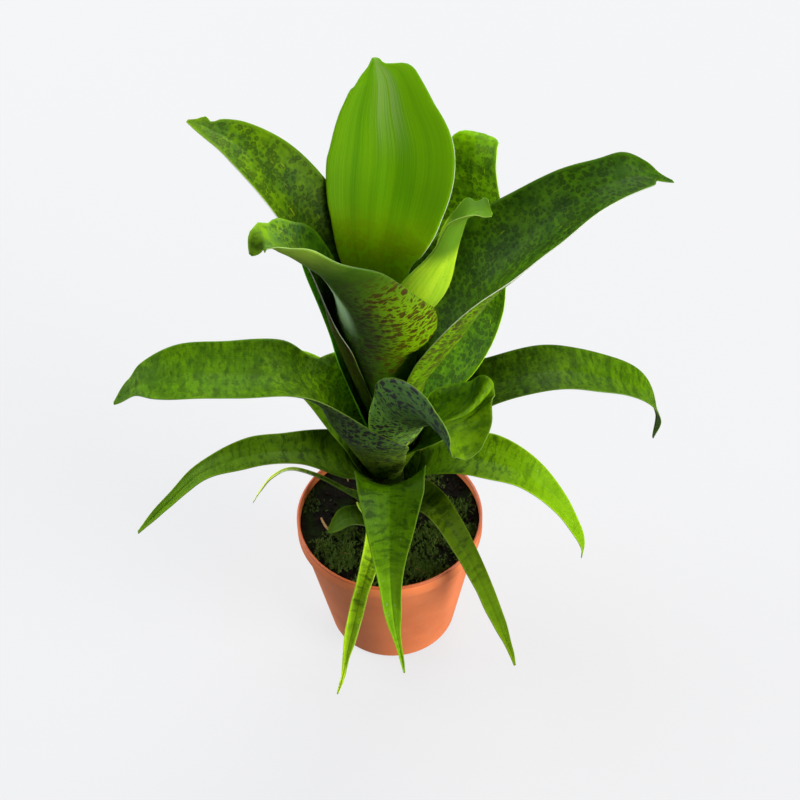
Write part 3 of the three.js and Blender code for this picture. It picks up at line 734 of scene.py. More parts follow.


# light and shade, lighter on leaves and feet that lie in shade and darker low on the funnel
# The leaves
#
# Lengths are in millimetres and angles in degrees.
# kind: the leaf's colouring
# foot: the direction the leaf points, from +X towards +Y, the height where its sheath starts, the
#     height and slope of the sheath's cone, and how far round the stem it reaches below and above
# blade: the midrib's stations past the sheath, each (reach, height, sway, width, cup, roll)
# tone: what multiplies the colours at the foot and at the tip: the leaf's own tone, with painted
# tone_from: the parts of the length between which one tone turns into the other
# back: what multiplies the colours of the outer face besides, with painted light and shade as well
# fine_tip: how long the narrower tip is, and the share of its width that it keeps
# slender: the share of its width that the whole leaf keeps
# nicks: bumps and nicks in a margin, each (side, distance from the tip, half length, depth)
# white_edge: the side on whose margin a whitish sheen is painted

LEAVES = {
    "leaf_old_small": {
        "kind": "low", "foot": (203, 44.6, 5, 0.8, 100, 70),
        "tone": ((0.30, 0.30, 0.6), (0.36, 0.38, 0.8)),
        "blade": [
            (11.5, 51.5, 0, 9, 70, 0), (14, 52, -0.5, 7.5, 60, 0), (16.5, 50, -1, 5.5, 50, 0),
            (18.5, 47.7, -1.6, 2.5, 50, 0), (19.2, 46.7, -2, 1, 40, 0),
        ],
    },
    "leaf_thin_back_left": {
        "kind": "low", "foot": (165, 46, 7, 0.5, 70, 45),
        "slender": 0.5, "tone": ((0.4, 0.4, 0.8), (4.0, 2.6, 40)),
        "blade": [
            (14.5, 55.5, 0, 4, 60, 0), (22, 59.5, 0, 3.4, 60, 0), (30, 60.5, 0, 3, 50, 0),
            (36.5, 55, 0, 2.4, 40, 0), (41, 47, 0, 1.8, 40, 0), (43.5, 41, 0, 1, 30, 0),
        ],
    },
    "leaf_low_front_left": {
        "kind": "low", "foot": (256, 48, 12, 0.46, 170, 90),
        "tone": ((2.4, 1.9, 4), (3.0, 2.4, 8)), "fine_tip": (34, 0.45),
        "blade": [
            (15.5, 62, 1, 9, 70, 0), (21, 62, 1.6, 7, 90, 0), (28, 54, -0.2, 5.4, 95, 0),
            (32.5, 41, -2.5, 4.8, 90, 0), (35.5, 25, -5.2, 4.2, 85, 0),
            (37, 12, -7, 2.8, 70, 0), (37.5, 2.5, -9, 1, 50, 0),
        ],
    },
    "leaf_low_front_right": {
        "kind": "low", "foot": (313, 50.8, 15, 0.43, 190, 68),
        "tone": ((0.36, 0.32, 0.1), (0.70, 0.64, 0.3)), "fine_tip": (16, 0.65),
        "blade": [
            (15.5, 68, -1.5, 14, 60, 0), (22, 70.5, -2, 10, 75, 0),
            (30, 64.5, -1.8, 8.2, 70, 0), (38.5, 48.5, 0, 6.3, 60, 0),
            (46, 33.5, 0.8, 4.4, 50, 0), (50.5, 25, 0.8, 2.9, 40, 0),
            (52.5, 20.5, 0.5, 1, 30, 0),
        ],
    },
    "leaf_front": {
        "kind": "low", "foot": (274, 53.5, 22, 0.428, 170, 72),
        "tone": ((0.40, 0.47, 0.1), (1.3, 1.3, 3.5)), "fine_tip": (26, 0.5),
        "blade": [
            (17.5, 82, 0, 23.5, 104, 0), (22, 85.2, -0.8, 20.5, 80, 0),
            (30, 76, -2, 13.5, 70, 0), (35, 62, -2.6, 7.5, 60, 0), (39, 45, -2.2, 4.6, 50, 0),
            (42, 32, -0.6, 2.9, 40, 0), (43, 25.5, 0, 1, 30, 0),
        ],
    },
    "leaf_low_right": {
        "kind": "low", "foot": (342, 56.2, 20, 0.425, 180, 54),
        "tone": ((1.1, 1.1, 0.4), (1.25, 1.2, 1.2)),
        "blade": [
            (20, 80, 0.1, 15.4, 48, 0), (30, 81.5, 0, 18, 64, 0), (41, 79.5, 0, 13.5, 50, 0),
            (51, 70.5, 0, 9, 45, 0), (57.5, 58.5, 0, 5.5, 40, 0), (59.5, 52, 0, 3, 30, 0),
            (59.5, 47, 0, 1, 20, 0),
        ],
    },
    "leaf_low_back_right": {
        "kind": "low", "foot": (62, 58.9, 15, 0.43, 180, 60),
        "blade": [
            (17, 77, 0, 17, 60, 0), (26, 79, 0, 13, 60, 0), (35, 74, 0, 10, 60, 0),
            (42, 63, 0, 7, 50, 0), (46, 52, 0, 3.6, 40, 0), (47, 46, 0, 1, 30, 0),
        ],
    },
    "leaf_low_left": {
        "kind": "low", "foot": (190, 61.6, 15, 0.43, 190, 110),
        "tone": ((0.45, 0.46, 0.2), (0.66, 0.68, 0.2)),
        "blade": [
            (17.5, 78.5, 0, 20, 65, 0), (28, 83, 0, 13, 65, 0), (40, 84.5, 0, 11.5, 60, 0),
            (54, 80, 0, 7.5, 50, 0), (65, 69.5, 0, 4.6, 45, 0), (71, 63, 0, 3, 40, 0),
            (75, 58.5, 0, 1, 30, 0),
        ],
    },
    "leaf_low_back_left": {
        "kind": "low", "foot": (140, 64.3, 16, 0.43, 190, 100),
        "blade": [
            (17, 83, 0, 18, 60, 0), (27, 88, 0, 16, 60, 0), (38, 88, 0, 13, 55, 0),
            (47, 80, 0, 9, 50, 0), (52, 70, 0, 4.5, 40, 0), (54, 64, 0, 1, 30, 0),
        ],
    },
    "leaf_low_back": {
        "kind": "low", "foot": (98, 67, 15, 0.43, 180, 100),
        "blade": [
            (17, 85.5, 0, 18, 60, 0), (26, 88.5, 0, 15, 60, 0), (36, 85, 0, 12, 55, 0),
            (43, 75, 0, 8, 50, 0), (46.5, 64, 0, 4, 40, 0), (47, 57, 0, 1, 30, 0),
        ],
    },
    "leaf_middle_left": {
        "kind": "middle", "foot": (187, 69.7, 28.5, 0.415, 245, 200),
        "tone": ((1.1, 1.05, 1), (0.62, 0.70, 0.05)), "tone_from": (0.3, 0.6), "back": 0.72,
        "nicks": [
            (1, 9, 4, -2.3), (1, 22, 7, 1.7), (1, 32, 6, 1.0), (-1, 8, 2, -0.9), (-1, 72, 9, -4.0),
        ],
        "blade": [
            (20, 104, 0, 33, 98, 14), (29, 111, -1.5, 28, 70, 8), (42, 114.5, -2.2, 22, 50, 0),
            (56, 116, -3, 20, 45, 0), (67, 113.5, -3.6, 13.5, 40, 0),
            (72.5, 109.5, -3.9, 6, 30, 0), (75.5, 106.5, -4.1, 1, 20, 0),
        ],
    },
    "leaf_middle_right": {
        "kind": "middle", "foot": (5, 72.4, 14, 0.43, 190, 130),
        "tone": ((0.42, 0.46, 0.1), (0.60, 0.66, 0.1)),
        "blade": [
            (19, 92, 0, 27, 80, 0), (30, 100, 0, 19, 60, 0), (46, 104, 0, 18, 50, 0),
            (62, 100, 0, 16, 45, 0), (74, 93, 0, 13, 40, 0), (79.5, 82, 0, 7, 30, 0),
            (79, 71, 0, 1, 20, 0),
        ],
    },
    "leaf_back_right": {
        "kind": "upper", "foot": (50, 75.1, 17, 0.42, 150, 70),
        # painted light: the whole leaf is lightened as if lit through from behind; back keeps its
        # outside darker
        "tone": ((2.2, 2.2, 0.2), (2.5, 2.3, 0.2)), "back": 0.4,
        "nicks": [(1, 1.3, 1.1, -1.5)],
        "blade": [
            (25, 101, -2.5, 27, 60, 0), (36, 113, -3, 28, 60, 0), (41, 127, -1, 26, 55, 0),
            (44, 142, 2, 23, 50, 0), (46.3, 152.5, 4.2, 19.5, 50, 0),
            (49, 157.5, 5.2, 15, 45, 0), (52, 158, 6, 8, 40, 0), (54, 157, 6.4, 1, 30, 0),
        ],
    },
    "leaf_middle_front": {
        "kind": "middle", "foot": (315, 78, 20.5, 0.43, 130, 116),
        # painted light: the foot, which lies in shade, is lightened
        "tone": ((2.6, 2.4, 1.7), (0.80, 0.78, 1.2)),
        "blade": [
            (19.3, 104.3, -1.2, 37, 152, -28), (23, 109.3, -2.9, 42.5, 149, -33),
            (27.5, 109.6, -3.4, 38, 132, -31), (31.5, 107.8, -3.4, 26, 105, -22),
            (34, 106, -3.8, 12.5, 75, -10), (35.5, 104.8, -4.5, 1, 40, 0),
        ],
    },
    "leaf_upper_right": {
        "kind": "upper", "foot": (20, 84, 30, 0.26, 200, 180),
        "tone": ((1.18, 1.18, 0.3), (0.52, 0.62, 0.15)), "white_edge": -1,
        "nicks": [(1, 13, 6, 1.9), (-1, 14, 5, 1.9), (-1, 7.5, 2.4, -1.9), (-1, 4.5, 2, -0.5)],
        "blade": [
            (23, 123, -0.4, 50, 158, -12), (32.5, 136, -0.4, 42, 118, -10),
            (44.5, 147.5, 0, 29, 70, -3), (58, 155.5, 0, 21.5, 50, 0), (72, 158, 0, 14, 45, 0),
            (79, 156, 0, 8, 45, 0), (82, 154, 0, 4, 40, 0), (86, 151.5, 0, 1, 30, 0),
        ],
    },
    "leaf_back_left": {
        "kind": "upper", "foot": (127, 88, 27, 0.25, 180, 130),
        "tone": ((0.85, 1.5, 0.3), (0.85, 1.5, 0.3)),
        "blade": [
            (15.5, 120, 0, 20, 90, 0), (22, 130, 0, 18, 70, 0), (29, 139, 0, 14, 50, 0),
            (34, 143, 0, 9, 40, 0), (38, 143, 0, 1, 30, 0),
        ],
    },
    "leaf_upper_left": {
        "kind": "upper", "foot": (150, 96, 36, 0.24, 200, 160),
        "tone": ((0.32, 0.32, 0.5), (1.65, 1.4, 1.4)), "white_edge": 1, "back": 0.45,
        "nicks": [(-1, 6.2, 1.2, -1.2), (-1, 3.6, 1.2, 0.8)],
        "blade": [
            (15.5, 140, 0, 28, 110, 0), (23, 157, -1.2, 24, 76, 0),
            (33, 170, -0.9, 20.5, 62, 0), (43, 177, -0.5, 14, 50, 0), (51, 179, 0, 7, 40, 0),
            (55, 179, 0, 3, 30, 0), (57, 179, 0, 1, 30, 0),
        ],
    },
    "leaf_funnel": {
        "kind": "funnel", "foot": (238, 101, 30, 0.235, 200, 204),
        # painted shade over the lower funnel, and painted light making the tip pale
        "tone": ((0.28, 0.38, 0.3), (2.2, 1.8, 8)), "tone_from": (0.74, 0.94),
        "nicks": [(1, 5.6, 2.4, -2.6), (1, 12, 3, 1.2)],
        "blade": [
            (13.6, 137, 2.2, 44.5, 176, -1), (15.2, 144, 2.2, 44.4, 171, -5),
            (17.3, 152.5, 0.7, 36.5, 149, -8), (20.3, 162.5, -3.7, 33, 126, -16),
            (24, 169.5, -8.5, 29.5, 105, -20), (26.8, 174.4, -13.6, 23.5, 80, -20),
            (28.3, 175.8, -16.2, 10, 60, -14), (29.8, 171.3, -19.2, 1, 30, -18),
        ],
    },
    "leaf_crown_back": {
        "kind": "crown", "foot": (86, 106, 30, 0.195, 180, 70),
        # painted light on the foot, which lies in the funnel's shade
        "tone": ((1.5, 1.45, 0.3), (0.85, 0.87, 0.7)), "tone_from": (0.40, 0.62), "white_edge": -1,
        "nicks": [(-1, 3.2, 1.5, -2.6), (-1, 6.4, 2.0, 0.3), (1, 3.0, 1.2, -0.8), (1, 13, 4, -0.8)],
        "blade": [
            (14, 144, 0.9, 23.4, 72, 0), (19.2, 154, -0.6, 32.4, 66, 0),
            (26.5, 166, -2.2, 35, 49, 0), (33.8, 175, -0.9, 27.6, 40, 0),
            (39.2, 180.8, -0.1, 19, 30, 0), (43, 183.3, 1.6, 10, 20, 0),
            (45, 184.3, 2.6, 3, 10, 0), (46, 184, 3.2, 1, 10, 0),
        ],
    },
    "leaf_heart": {
        "kind": "heart", "foot": (316, 111, 24, 0.185, 184, 168),
        # painted shade: the foot is darkened where the light falls brightest
        "tone": ((0.64, 0.66, 1.0), (1.0, 0.95, 1.5)),
        "nicks": [(1, 2.5, 1.0, 1.5), (1, 5.5, 1.2, -1.2), (-1, 6, 2, 0.8)],
        "blade": [
            (14, 141.5, 4.4, 30.8, 166, 4), (16.8, 148.4, 6.6, 32.6, 162, 10),
            (18.4, 157.6, 8, 27, 154, 16), (20.4, 168.4, 9, 18.3, 124, 22),
            (22, 175.7, 9.8, 13.5, 90, 15), (25, 178.2, 11.5, 6, 60, 0),
            (27.5, 177.3, 13, 1, 30, 0),
        ],
    },
}

SHEATH_FOOT_RADIUS = 5.4
LEAST_WIDTH = 0.25
WAVE = 0.55  # how far a margin waves up and down
HOLLOW = 0.35  # how deep the soft hollows of a blade are
GROOVE = 0.22  # how deep the groove along the midrib is
SHEATH_END, BLADE_START = 3, 5  # stations between which a sheath turns into a blade


def leaf_stations(leaf):
    """From the sheath's foot to the tip, each row being (reach, sway, height, width, cup, roll)."""
    base, sheath, flare, wrap_low, wrap_high = leaf["foot"][1:]
    rows = []
    for part in (0, 0.35, 0.7, 1):
        radius = SHEATH_FOOT_RADIUS + flare * sheath * part
        wrap = wrap_low + (wrap_high - wrap_low) * part
        rows.append((radius, 0, base + sheath * part, radius * math.radians(wrap), wrap, 0))
    for reach, height, sway, width, cup, roll in leaf["blade"]:
        rows.append((reach, sway, height, width, cup, roll))
    return rows


def leaf_frames(leaf, steps):
    """For each step along the midrib: its place, side, upper side, width, arc and length so far."""
    rows = leaf_stations(leaf)
    marks = [0.0]
    for a, b in zip(rows, rows[1:]):
        marks.append(marks[-1] + math.dist(a[:3], b[:3]))
    length = marks[-1]
    tip, share = leaf.get("fine_tip", (1.0, 1.0))

    def midrib(at):
        return Vector(smooth_rows(marks, rows, min(max(at, 0), length))[:3])

    frames = []
    for i in range(steps + 1):
        at = i / steps * length
        width, cup, roll = smooth_rows(marks, rows, at)[3:]
        along = (midrib(at + 0.01) - midrib(at - 0.01)).normalized()
        side = Vector((0, 1, 0))
        side = (side - along * side.dot(along)).normalized()
        square = along.cross(side)
        blade = smoothstep(at, marks[SHEATH_END], marks[BLADE_START])
        up = Vector((-1, 0, 0)).lerp(square, blade).normalized()
        turn = math.radians(roll)
        rolled_side = side * math.cos(turn) + up * math.sin(turn)
        rolled_up = up * math.cos(turn) - side * math.sin(turn)
        width *= leaf.get("slender", 1.0)
        width *= 1 - (1 - share) * smoothstep(length - at, tip, 0.35 * tip)
        arc = math.radians(max(cup, 1))
        frames.append((midrib(at), rolled_side, rolled_up, max(width, LEAST_WIDTH), arc, at))
    return frames, marks


def sculpted(across, at, marks, seed):
    """How far the surface stands off its plain arc: a waving margin, soft hollows and a groove."""
    length = marks[-1]
    free = smoothstep(at, marks[SHEATH_END], marks[BLADE_START])
    free *= 1 - smoothstep(at, length - 9, length)
    turn = 1.7 if across > 0 else 0.0
    wave = noise.noise(Vector((at / 11, seed * 3.7 + turn, 0.3))) * WAVE * abs(across) ** 3
    hollow = noise.noise(Vector((at / 17, across * 1.3, seed * 1.9))) * HOLLOW
    groove = -GROOVE * math.exp(-(across * 7) ** 2)
    return free * (wave + hollow + groove)


def margin_shift(leaf, across, left):
    """How far a margin stands out or is nicked; left is what is left to the tip."""
    shift = 0.0
    for side, place, half, depth in leaf.get("nicks", ()):
        if side * across > 0:
            shift += depth * math.exp(-((left - place) / half) ** 2)
    return shift * abs(across) ** 1.5


def leaf_sheet(leaf, seed, strips, rows):
    """Bends a grid of rows and strips into the leaf, and notes what the finishes follow."""
    frames, marks = leaf_frames(leaf, rows)
    foot_tone_and_light, tip_tone_and_light = (Vector(tone) for tone in leaf.get("tone", ((1, 1, 1), (1, 1, 1))))
    tone_from = leaf.get("tone_from", (0.35, 0.85))
    bm = bmesh.new()
    bmesh.ops.create_grid(bm, x_segments=strips, y_segments=rows, size=1.0)
    place = bm.verts.layers.float_vector.new("leaf_place")
    tone = bm.verts.layers.float_vector.new("leaf_tone")
    white = bm.verts.layers.float.new("white_edge")
    back = bm.verts.layers.float_vector.new("leaf_back")
    heading = Matrix.Rotation(math.radians(leaf["foot"][0]), 3, "Z")
    spots = {}
    for vert in bm.verts:
        across, row = vert.co.x, round((vert.co.y + 1) / 2 * rows)
        centre, side, up, width, arc, at = frames[row]
        radius, angle = width / arc, across * arc / 2
        spot = centre + side * radius * math.sin(angle) + up * radius * (1 - math.cos(angle))
        outward = up * math.cos(angle) - side * math.sin(angle)
        spot += outward * sculpted(across, at, marks, seed)
        edgewise = (side * math.cos(angle) + up * math.sin(angle)) * math.copysign(1, across)
        spot += edgewise * margin_shift(leaf, across, marks[-1] - at)
        vert.co = heading @ spot * MM
        part = at / marks[-1]
        vert[place] = (across, part, (1 - abs(across)) * width / 2)
        # the leaf's own tone together with painted light and shade, from the foot's to the tip's
        vert[tone] = foot_tone_and_light.lerp(tip_tone_and_light, smoothstep(part, *tone_from))
        vert[back] = [leaf.get("back", 1.0)] * 3
        # painted sheen: a whitish line along one margin, where the edge catches the light
        if across * leaf.get("white_edge", 0) > 0.5:
            vert[white] = smoothstep(part, 0.3, 0.45) * smoothstep(part, 0.95, 0.8)
        spots[vert] = (across * width / 2, at)
    sheet = bm.loops.layers.uv.new("leaf_sheet")
    for face in bm.faces:
        for loop in face.loops:
            loop[sheet].uv = Vector(spots[loop.vert]) + Vector((seed * 41.0, seed * 23.0))
    smooth_faces(bm)
    bm.normal_update()
    bm.faces.ensure_lookup_table()
    middle = bm.faces[len(bm.faces) // 2 + strips // 2]
    row = min(frames, key=lambda f: (heading @ f[0] * MM - middle.calc_center_median()).length)
    if middle.normal.dot(heading @ row[2]) < 0:
        bmesh.ops.reverse_faces(bm, faces=bm.faces)
    return bm


def grow_leaf(name, leaf, seed, slot, materials):
    """Makes one leaf: a bent sheet with flesh that thins towards the margins."""
    settings = bpy.context.scene.bromeliad_leaf
    bm = leaf_sheet(leaf, seed, settings.strips, settings.rows)
    piece = hand_over(name + "_fine", bm, materials, slot, name)
    insides = [spot.vector[2] for spot in piece.data.attributes["leaf_place"].data]
    thin_edges = piece.vertex_groups.new(name="body of the blade")
    for number, inside in enumerate(insides):
        thin_edges.add([number], smoothstep(inside, 0.0, 2.2), "REPLACE")
    flesh = piece.modifiers.new("flesh", "SOLIDIFY")
    flesh.thickness = settings.thickness
    flesh.offset = 0
    flesh.vertex_group = thin_edges.name
    flesh.thickness_vertex_group = 0.45
    flesh.material_offset = 1
    flesh.material_offset_rim = 2


class LeafFinish(Finish):
    """A finish on a leaf, with the places that its patterns follow.

    sheet is the place on the flattened leaf in millimetres. across runs from -1 to 1 between the
    margins, along from 0 at the foot to 1 at the tip, and inside is the distance from the margin.
    """

    def __init__(self, name):
        super().__init__(name)
        self.sheet = self.add("ShaderNodeUVMap", {"uv_map": "leaf_sheet"})
        place = {"Vector": self.attribute("leaf_place", 1)}
        self.across = self.add("ShaderNodeSeparateXYZ", None, place)
        self.along = Wire(self, self.across.socket.node.outputs[1])
        self.inside = Wire(self, self.across.socket.node.outputs[2])
        # the tone carries painted light and shade as well as the leaf's own tone
        self.tone = self.attribute("leaf_tone", 0)
        if name.endswith("outside"):
            self.tone = self.mixed(1.0, self.tone, self.attribute("leaf_back", 0), "MULTIPLY")
        strand = {"X": self.across * 14.0, "Y": self.along * 3.0}
        self.strand = self.add("ShaderNodeCombineXYZ", None, strand)

    def veins(self):
        """Fine lines that run from the foot to the tip."""
        return self.noise(self.stretched(self.strand, (2.6, 0.35, 1)), 1.0, 2, 0.65)

    def bands(self):
        """Soft broad bands that run the same way."""
        return self.noise(self.stretched(self.strand, (0.42, 0.30, 1)), 1.0, 2, 0.5)

    def mottle(self, size, shift=0.0):
        """Soft patches about as wide as the given size in millimetres."""
        return self.noise(self.stretched(self.sheet, (1, 1, 1), shift), 0.6 / size, 3, 0.6)

    def dashes(self, across, along, cover, fat=0.36, soft=0.09):
        """Marks of a given size in millimetres, in loose rows across the leaf."""
        bent = self.warped(self.sheet, 0.20, 2.4)
        bent = self.warped(bent, 1.5, 0.45)
        distance, own = self.cells(self.stretched(bent, (1 / across, 1 / along, 1)), 0.9)
        crowd = self.noise(self.sheet, 0.16, 2, 0.5)
        size = fat * ((own * 0.9 + 0.3) * (crowd - 0.5 + cover) * 2.0)
        return (size - distance).step(-soft, soft) * (own * 0.4 + 0.6)

    def rings(self, size, cover, soft=0.13):
        """Round blotches, many with a lighter middle."""
        bent = self.warped(self.sheet, 0.6, 0.9)
        distance, own = self.cells(self.stretched(bent, (1 / size, 1.12 / size, 1)), 0.95)
        crowd = self.noise(self.sheet, 0.13, 2, 0.5)
        reach = (own * 0.45 + 0.25) * (crowd - 0.5 + cover) * 2.0
        disc = (reach - distance).step(-soft, soft)
        hole = (reach * 0.5 - distance).step(-soft, soft) * own.step(0.35, 0.75)
        return (disc - hole * 0.45).clamped() * (own * 0.4 + 0.6)

    def smudges(self, across, along, start, end, shift=0.0):
        """Soft broken streaks of a given size in millimetres."""
        bent = self.warped(self.sheet, 0.3, 1.5)
        scaled = self.stretched(bent, (0.5 / across, 0.5 / along, 1), shift)
        return self.noise(scaled, 1.0, 4, 0.6).step(start, end)

    def cross_bands(self, pitch, strength):
        """Wavy dark bands across the leaf, as in a net."""
        bent = self.warped(self.sheet, 0.22, 3.2)
        lines = self.noise(self.stretched(bent, (0.10, 1.0 / pitch, 1)), 1.0, 3, 0.6)
        return lines.step(0.46, 0.66) * strength

    def skin(self, veins, gloss=0.36, shine=0.045):
        """Ends the material as a leaf's waxy skin, with its tone and painted light and shade laid
        over the colour.
        """
        bump = veins * 0.6 + self.noise(self.sheet, 2.2, 2) * 0.4
        roughness = gloss + veins * 0.10 + self.noise(self.sheet, 0.35, 3) * 0.10
        self.colour = self.mixed(1.0, self.colour, self.tone, "MULTIPLY")
        return self.surface(
            roughness, bump, 0.00009, specular_ior_level=shine,
            subsurface_weight=0.5, subsurface_radius=(0.9, 1.0, 0.1), subsurface_scale=0.0006,
        )


def begin_leaf(name, side):
    """The colours that a user may change, a new finish and its veins."""
    f = LeafFinish(name + " leaf " + side)
    return bpy.context.scene.bromeliad_leaf, f, f.veins()


def crown_face(side):
    """Bright green with fine lengthwise lines, a painted whitish highlight near the top and an
    olive foot lightened with painted light.
    """
    leaf, f, veins = begin_leaf("crown", side)
    bands = f.bands()
    lines = f.noise(f.stretched(f.strand, (5.0, 0.18, 1)), 1.0, 2, 0.6)
    f.base(bands.step(0.38, 0.62), leaf.bright, (0.100, 0.290, 0.001))
    f.coat(lines.step(0.48, 0.70) * 0.45, (0.065, 0.225, 0.001))
    f.coat(veins.step(0.45, 0.75) * 0.35, (0.21, 0.44, 0.002))
    f.coat(f.across.step(0.50, 0.85) * 0.35, (0.22, 0.46, 0.001))
    f.coat(f.across.step(-0.30, -0.85) * 0.45, (0.20, 0.44, 0.001))
    middle = (1.0 - f.across.absolute()).step(0.55, 0.95)
    # painted highlight: a whitish sheen down the middle near the top
    painted_sheen = (veins * 0.6 + bands * 0.5).step(0.40, 0.72) * f.along.step(0.66, 0.90) * middle
    f.coat(painted_sheen * 0.75, (0.34, 0.48, 0.17))
    # the foot's own olive, made lighter as painted light where it lies in shade
    foot = f.along.step(0.58, 0.42)
    f.coat(foot * 0.60, (0.220, 0.370, 0.001))
    reddish = f.rings(2.4, 0.56) * foot
    f.coat(reddish * 0.35, (0.160, 0.130, 0.003))
    return f.skin(veins + lines * 0.4, 0.42)


def heart_face(side):
    """Young yellow-green, darker towards the curled tip."""
    leaf, f, veins = begin_leaf("heart", side)
    bands = f.bands()
    f.base(bands.step(0.35, 0.7), leaf.young, (0.28, 0.54, 0.008))
    f.coat(veins.step(0.4, 0.8) * 0.35, (0.50, 0.74, 0.06))
    f.coat(f.smudges(0.5, 5, 0.50, 0.70) * 0.30, (0.20, 0.42, 0.004))
    f.coat(f.along.step(0.70, 0.80) * 0.92, (0.070, 0.190, 0.006))
    few = f.dashes(1.4, 0.7, 0.10) * f.along.step(0.50, 0.60)
    f.coat(few * 0.5, leaf.red_brown)
    return f.skin(veins, 0.36)


def blotched_face(side):
    """Mottled green, crowded with soft round blotches, cleaner at the tip and the edges."""
    leaf, f, veins = begin_leaf("blotched", side)
    f.base(f.mottle(2.4).step(0.36, 0.64), (0.050, 0.135, 0.001), leaf.upper)
    f.coat(f.mottle(0.9, 9).step(0.50, 0.72) * 0.25, (0.125, 0.26, 0.001))
    f.coat(f.mottle(6, 17).step(0.47, 0.64) * 0.65, (0.024, 0.080, 0.007))
    clear = f.along.step(1.00, 0.86) * 0.6 + 0.4
    clustered = f.mottle(4.5, 3).step(0.30, 0.50)
    marks = f.rings(1.6, 0.46, soft=0.18) * clear * clustered * f.inside.step(0.1, 1.5)
    small = f.rings(0.8, 0.40, soft=0.18) * clear * 0.25
    f.coat((marks.larger(small) * 1.3).clamped() * 0.72, leaf.blotch)
    yellow = f.dashes(1.2, 9.0, 0.0, soft=0.04) * f.inside.step(1.5, 3.5)
    f.coat(yellow * 0.6, (0.26, 0.40, 0.006))
    f.coat(f.inside.step(1.2, 0.0) * 0.40, (0.11, 0.25, 0.003))
    return f.skin(veins, 0.36)


def dashed_face(side):
    """The outside of the upper leaves: rows of thin red-brown dashes, greyer on one side, with
    painted light on the other.
    """
    return dashed_skin("dashed", side)


def funnel_face(side):
    """The outside of the rolled leaf: dashes, painted light shining yellow through one side, and a
    painted whitish sheen.
    """
    return dashed_skin("funnel", side, rolled=True)


def dashed_skin(name, side, rolled=False):
    """Red-brown dashes on green, with painted light on one side; on the rolled leaf also painted
    light shining yellow through that side and a painted whitish sheen on the other.
    """
    leaf, f, veins = begin_leaf(name, side)
    # painted light: the right side is painted lighter green as the lit side, and the dashes turn
    # from grey to red-brown towards it
    right = f.across.step(-0.30, 0.60)
    f.base(f.mottle(2.6).step(0.35, 0.65), (0.060, 0.155, 0.005), leaf.outside)
    f.coat(right * 0.5, (0.190, 0.360, 0.001))
    if rolled:
        # painted light: bright yellow-green where the light shines through the right side of the
        # funnel
        lit_lobe = f.across.step(0.05, 0.75) * f.along.step(0.24, 0.42) * f.along.step(0.70, 0.50)
        f.coat(lit_lobe * 0.9, (0.62, 0.90, 0.001))
    f.coat(veins.step(0.4, 0.8) * 0.22, (0.20, 0.35, 0.03))
    zone = f.along.step(0.76, 0.60) * f.along.step(0.10, 0.26)
    wide = f.dashes(3.0, 1.15, 0.60, 0.31, soft=0.07) * zone
    thin = f.dashes(2.0, 0.62, 0.58, 0.30, soft=0.08) * zone
    tint = f.mixed(right, (0.045, 0.040, 0.028), leaf.red_brown)
    f.coat(wide.larger(thin) * 0.92, tint)
    if rolled:
        # painted sheen: a whitish streak down the left side of the funnel, where it reflects the
        # light
        sheen_streak = f.across.step(0.02, -0.16) * f.across.step(-0.50, -0.30)
        painted_sheen = sheen_streak * f.along.step(0.36, 0.56) * f.along.step(1.00, 0.86)
        f.coat(painted_sheen * (veins * 0.9 + 0.60), (1.00, 1.15, 0.75))
    f.coat(f.inside.step(0.6, 0.0) * 0.3, (0.21, 0.38, 0.02))
    return f.skin(veins, 0.34, 0.12)


def spotted_face(side):
    """Upper faces of the middle leaves: fresh green, dark streaks, blotches near the sheath."""
    leaf, f, veins = begin_leaf("spotted", side)
    f.base(f.mottle(4).step(0.35, 0.65), (0.110, 0.245, 0.001), (0.155, 0.320, 0.001))
    f.coat(veins.step(0.4, 0.8) * 0.20, (0.20, 0.38, 0.002))
    f.coat(f.smudges(4.0, 1.3, 0.42, 0.62) * 0.60, (0.040, 0.110, 0.002))
    f.coat(f.smudges(1.6, 0.7, 0.47, 0.66, 5) * 0.60, (0.026, 0.078, 0.002))
    grey = f.mottle(5, 5).step(0.55, 0.72)
    f.coat(grey * 0.35, (0.085, 0.165, 0.045))
    near = f.along.step(0.62, 0.40)
    blots = f.rings(1.6, 0.42, soft=0.16) * (near * 0.6 + 0.2)
    f.coat(blots * 0.80, leaf.blotch)
    f.coat(f.inside.step(1.0, 0.0) * 0.30, (0.15, 0.33, 0.002))
    return f.skin(veins, 0.38)


def purple_face(side):
    """Outer faces of the middle leaves: bluish green with blackish-purple dashes."""
    leaf, f, veins = begin_leaf("purple-dashed", side)
    f.base(f.mottle(2.6).step(0.35, 0.65), (0.060, 0.155, 0.024), leaf.middle)
    f.coat(veins.step(0.4, 0.8) * 0.25, (0.15, 0.28, 0.07))
    f.coat(f.along.step(0.36, 0.12) * 0.85, (0.22, 0.38, 0.012))
    zone = f.along.step(0.98, 0.72) * 0.55 + 0.45
    wide = f.dashes(2.2, 0.85, 0.62, 0.31, soft=0.07) * zone
    thin = f.dashes(1.2, 0.42, 0.56, 0.30, soft=0.08) * zone
    f.coat((wide.larger(thin) * 1.25).clamped() * 0.96, leaf.purple)
    f.coat(f.inside.step(0.6, 0.0) * 0.4, leaf.margin)
    return f.skin(veins, 0.36, 0.16)


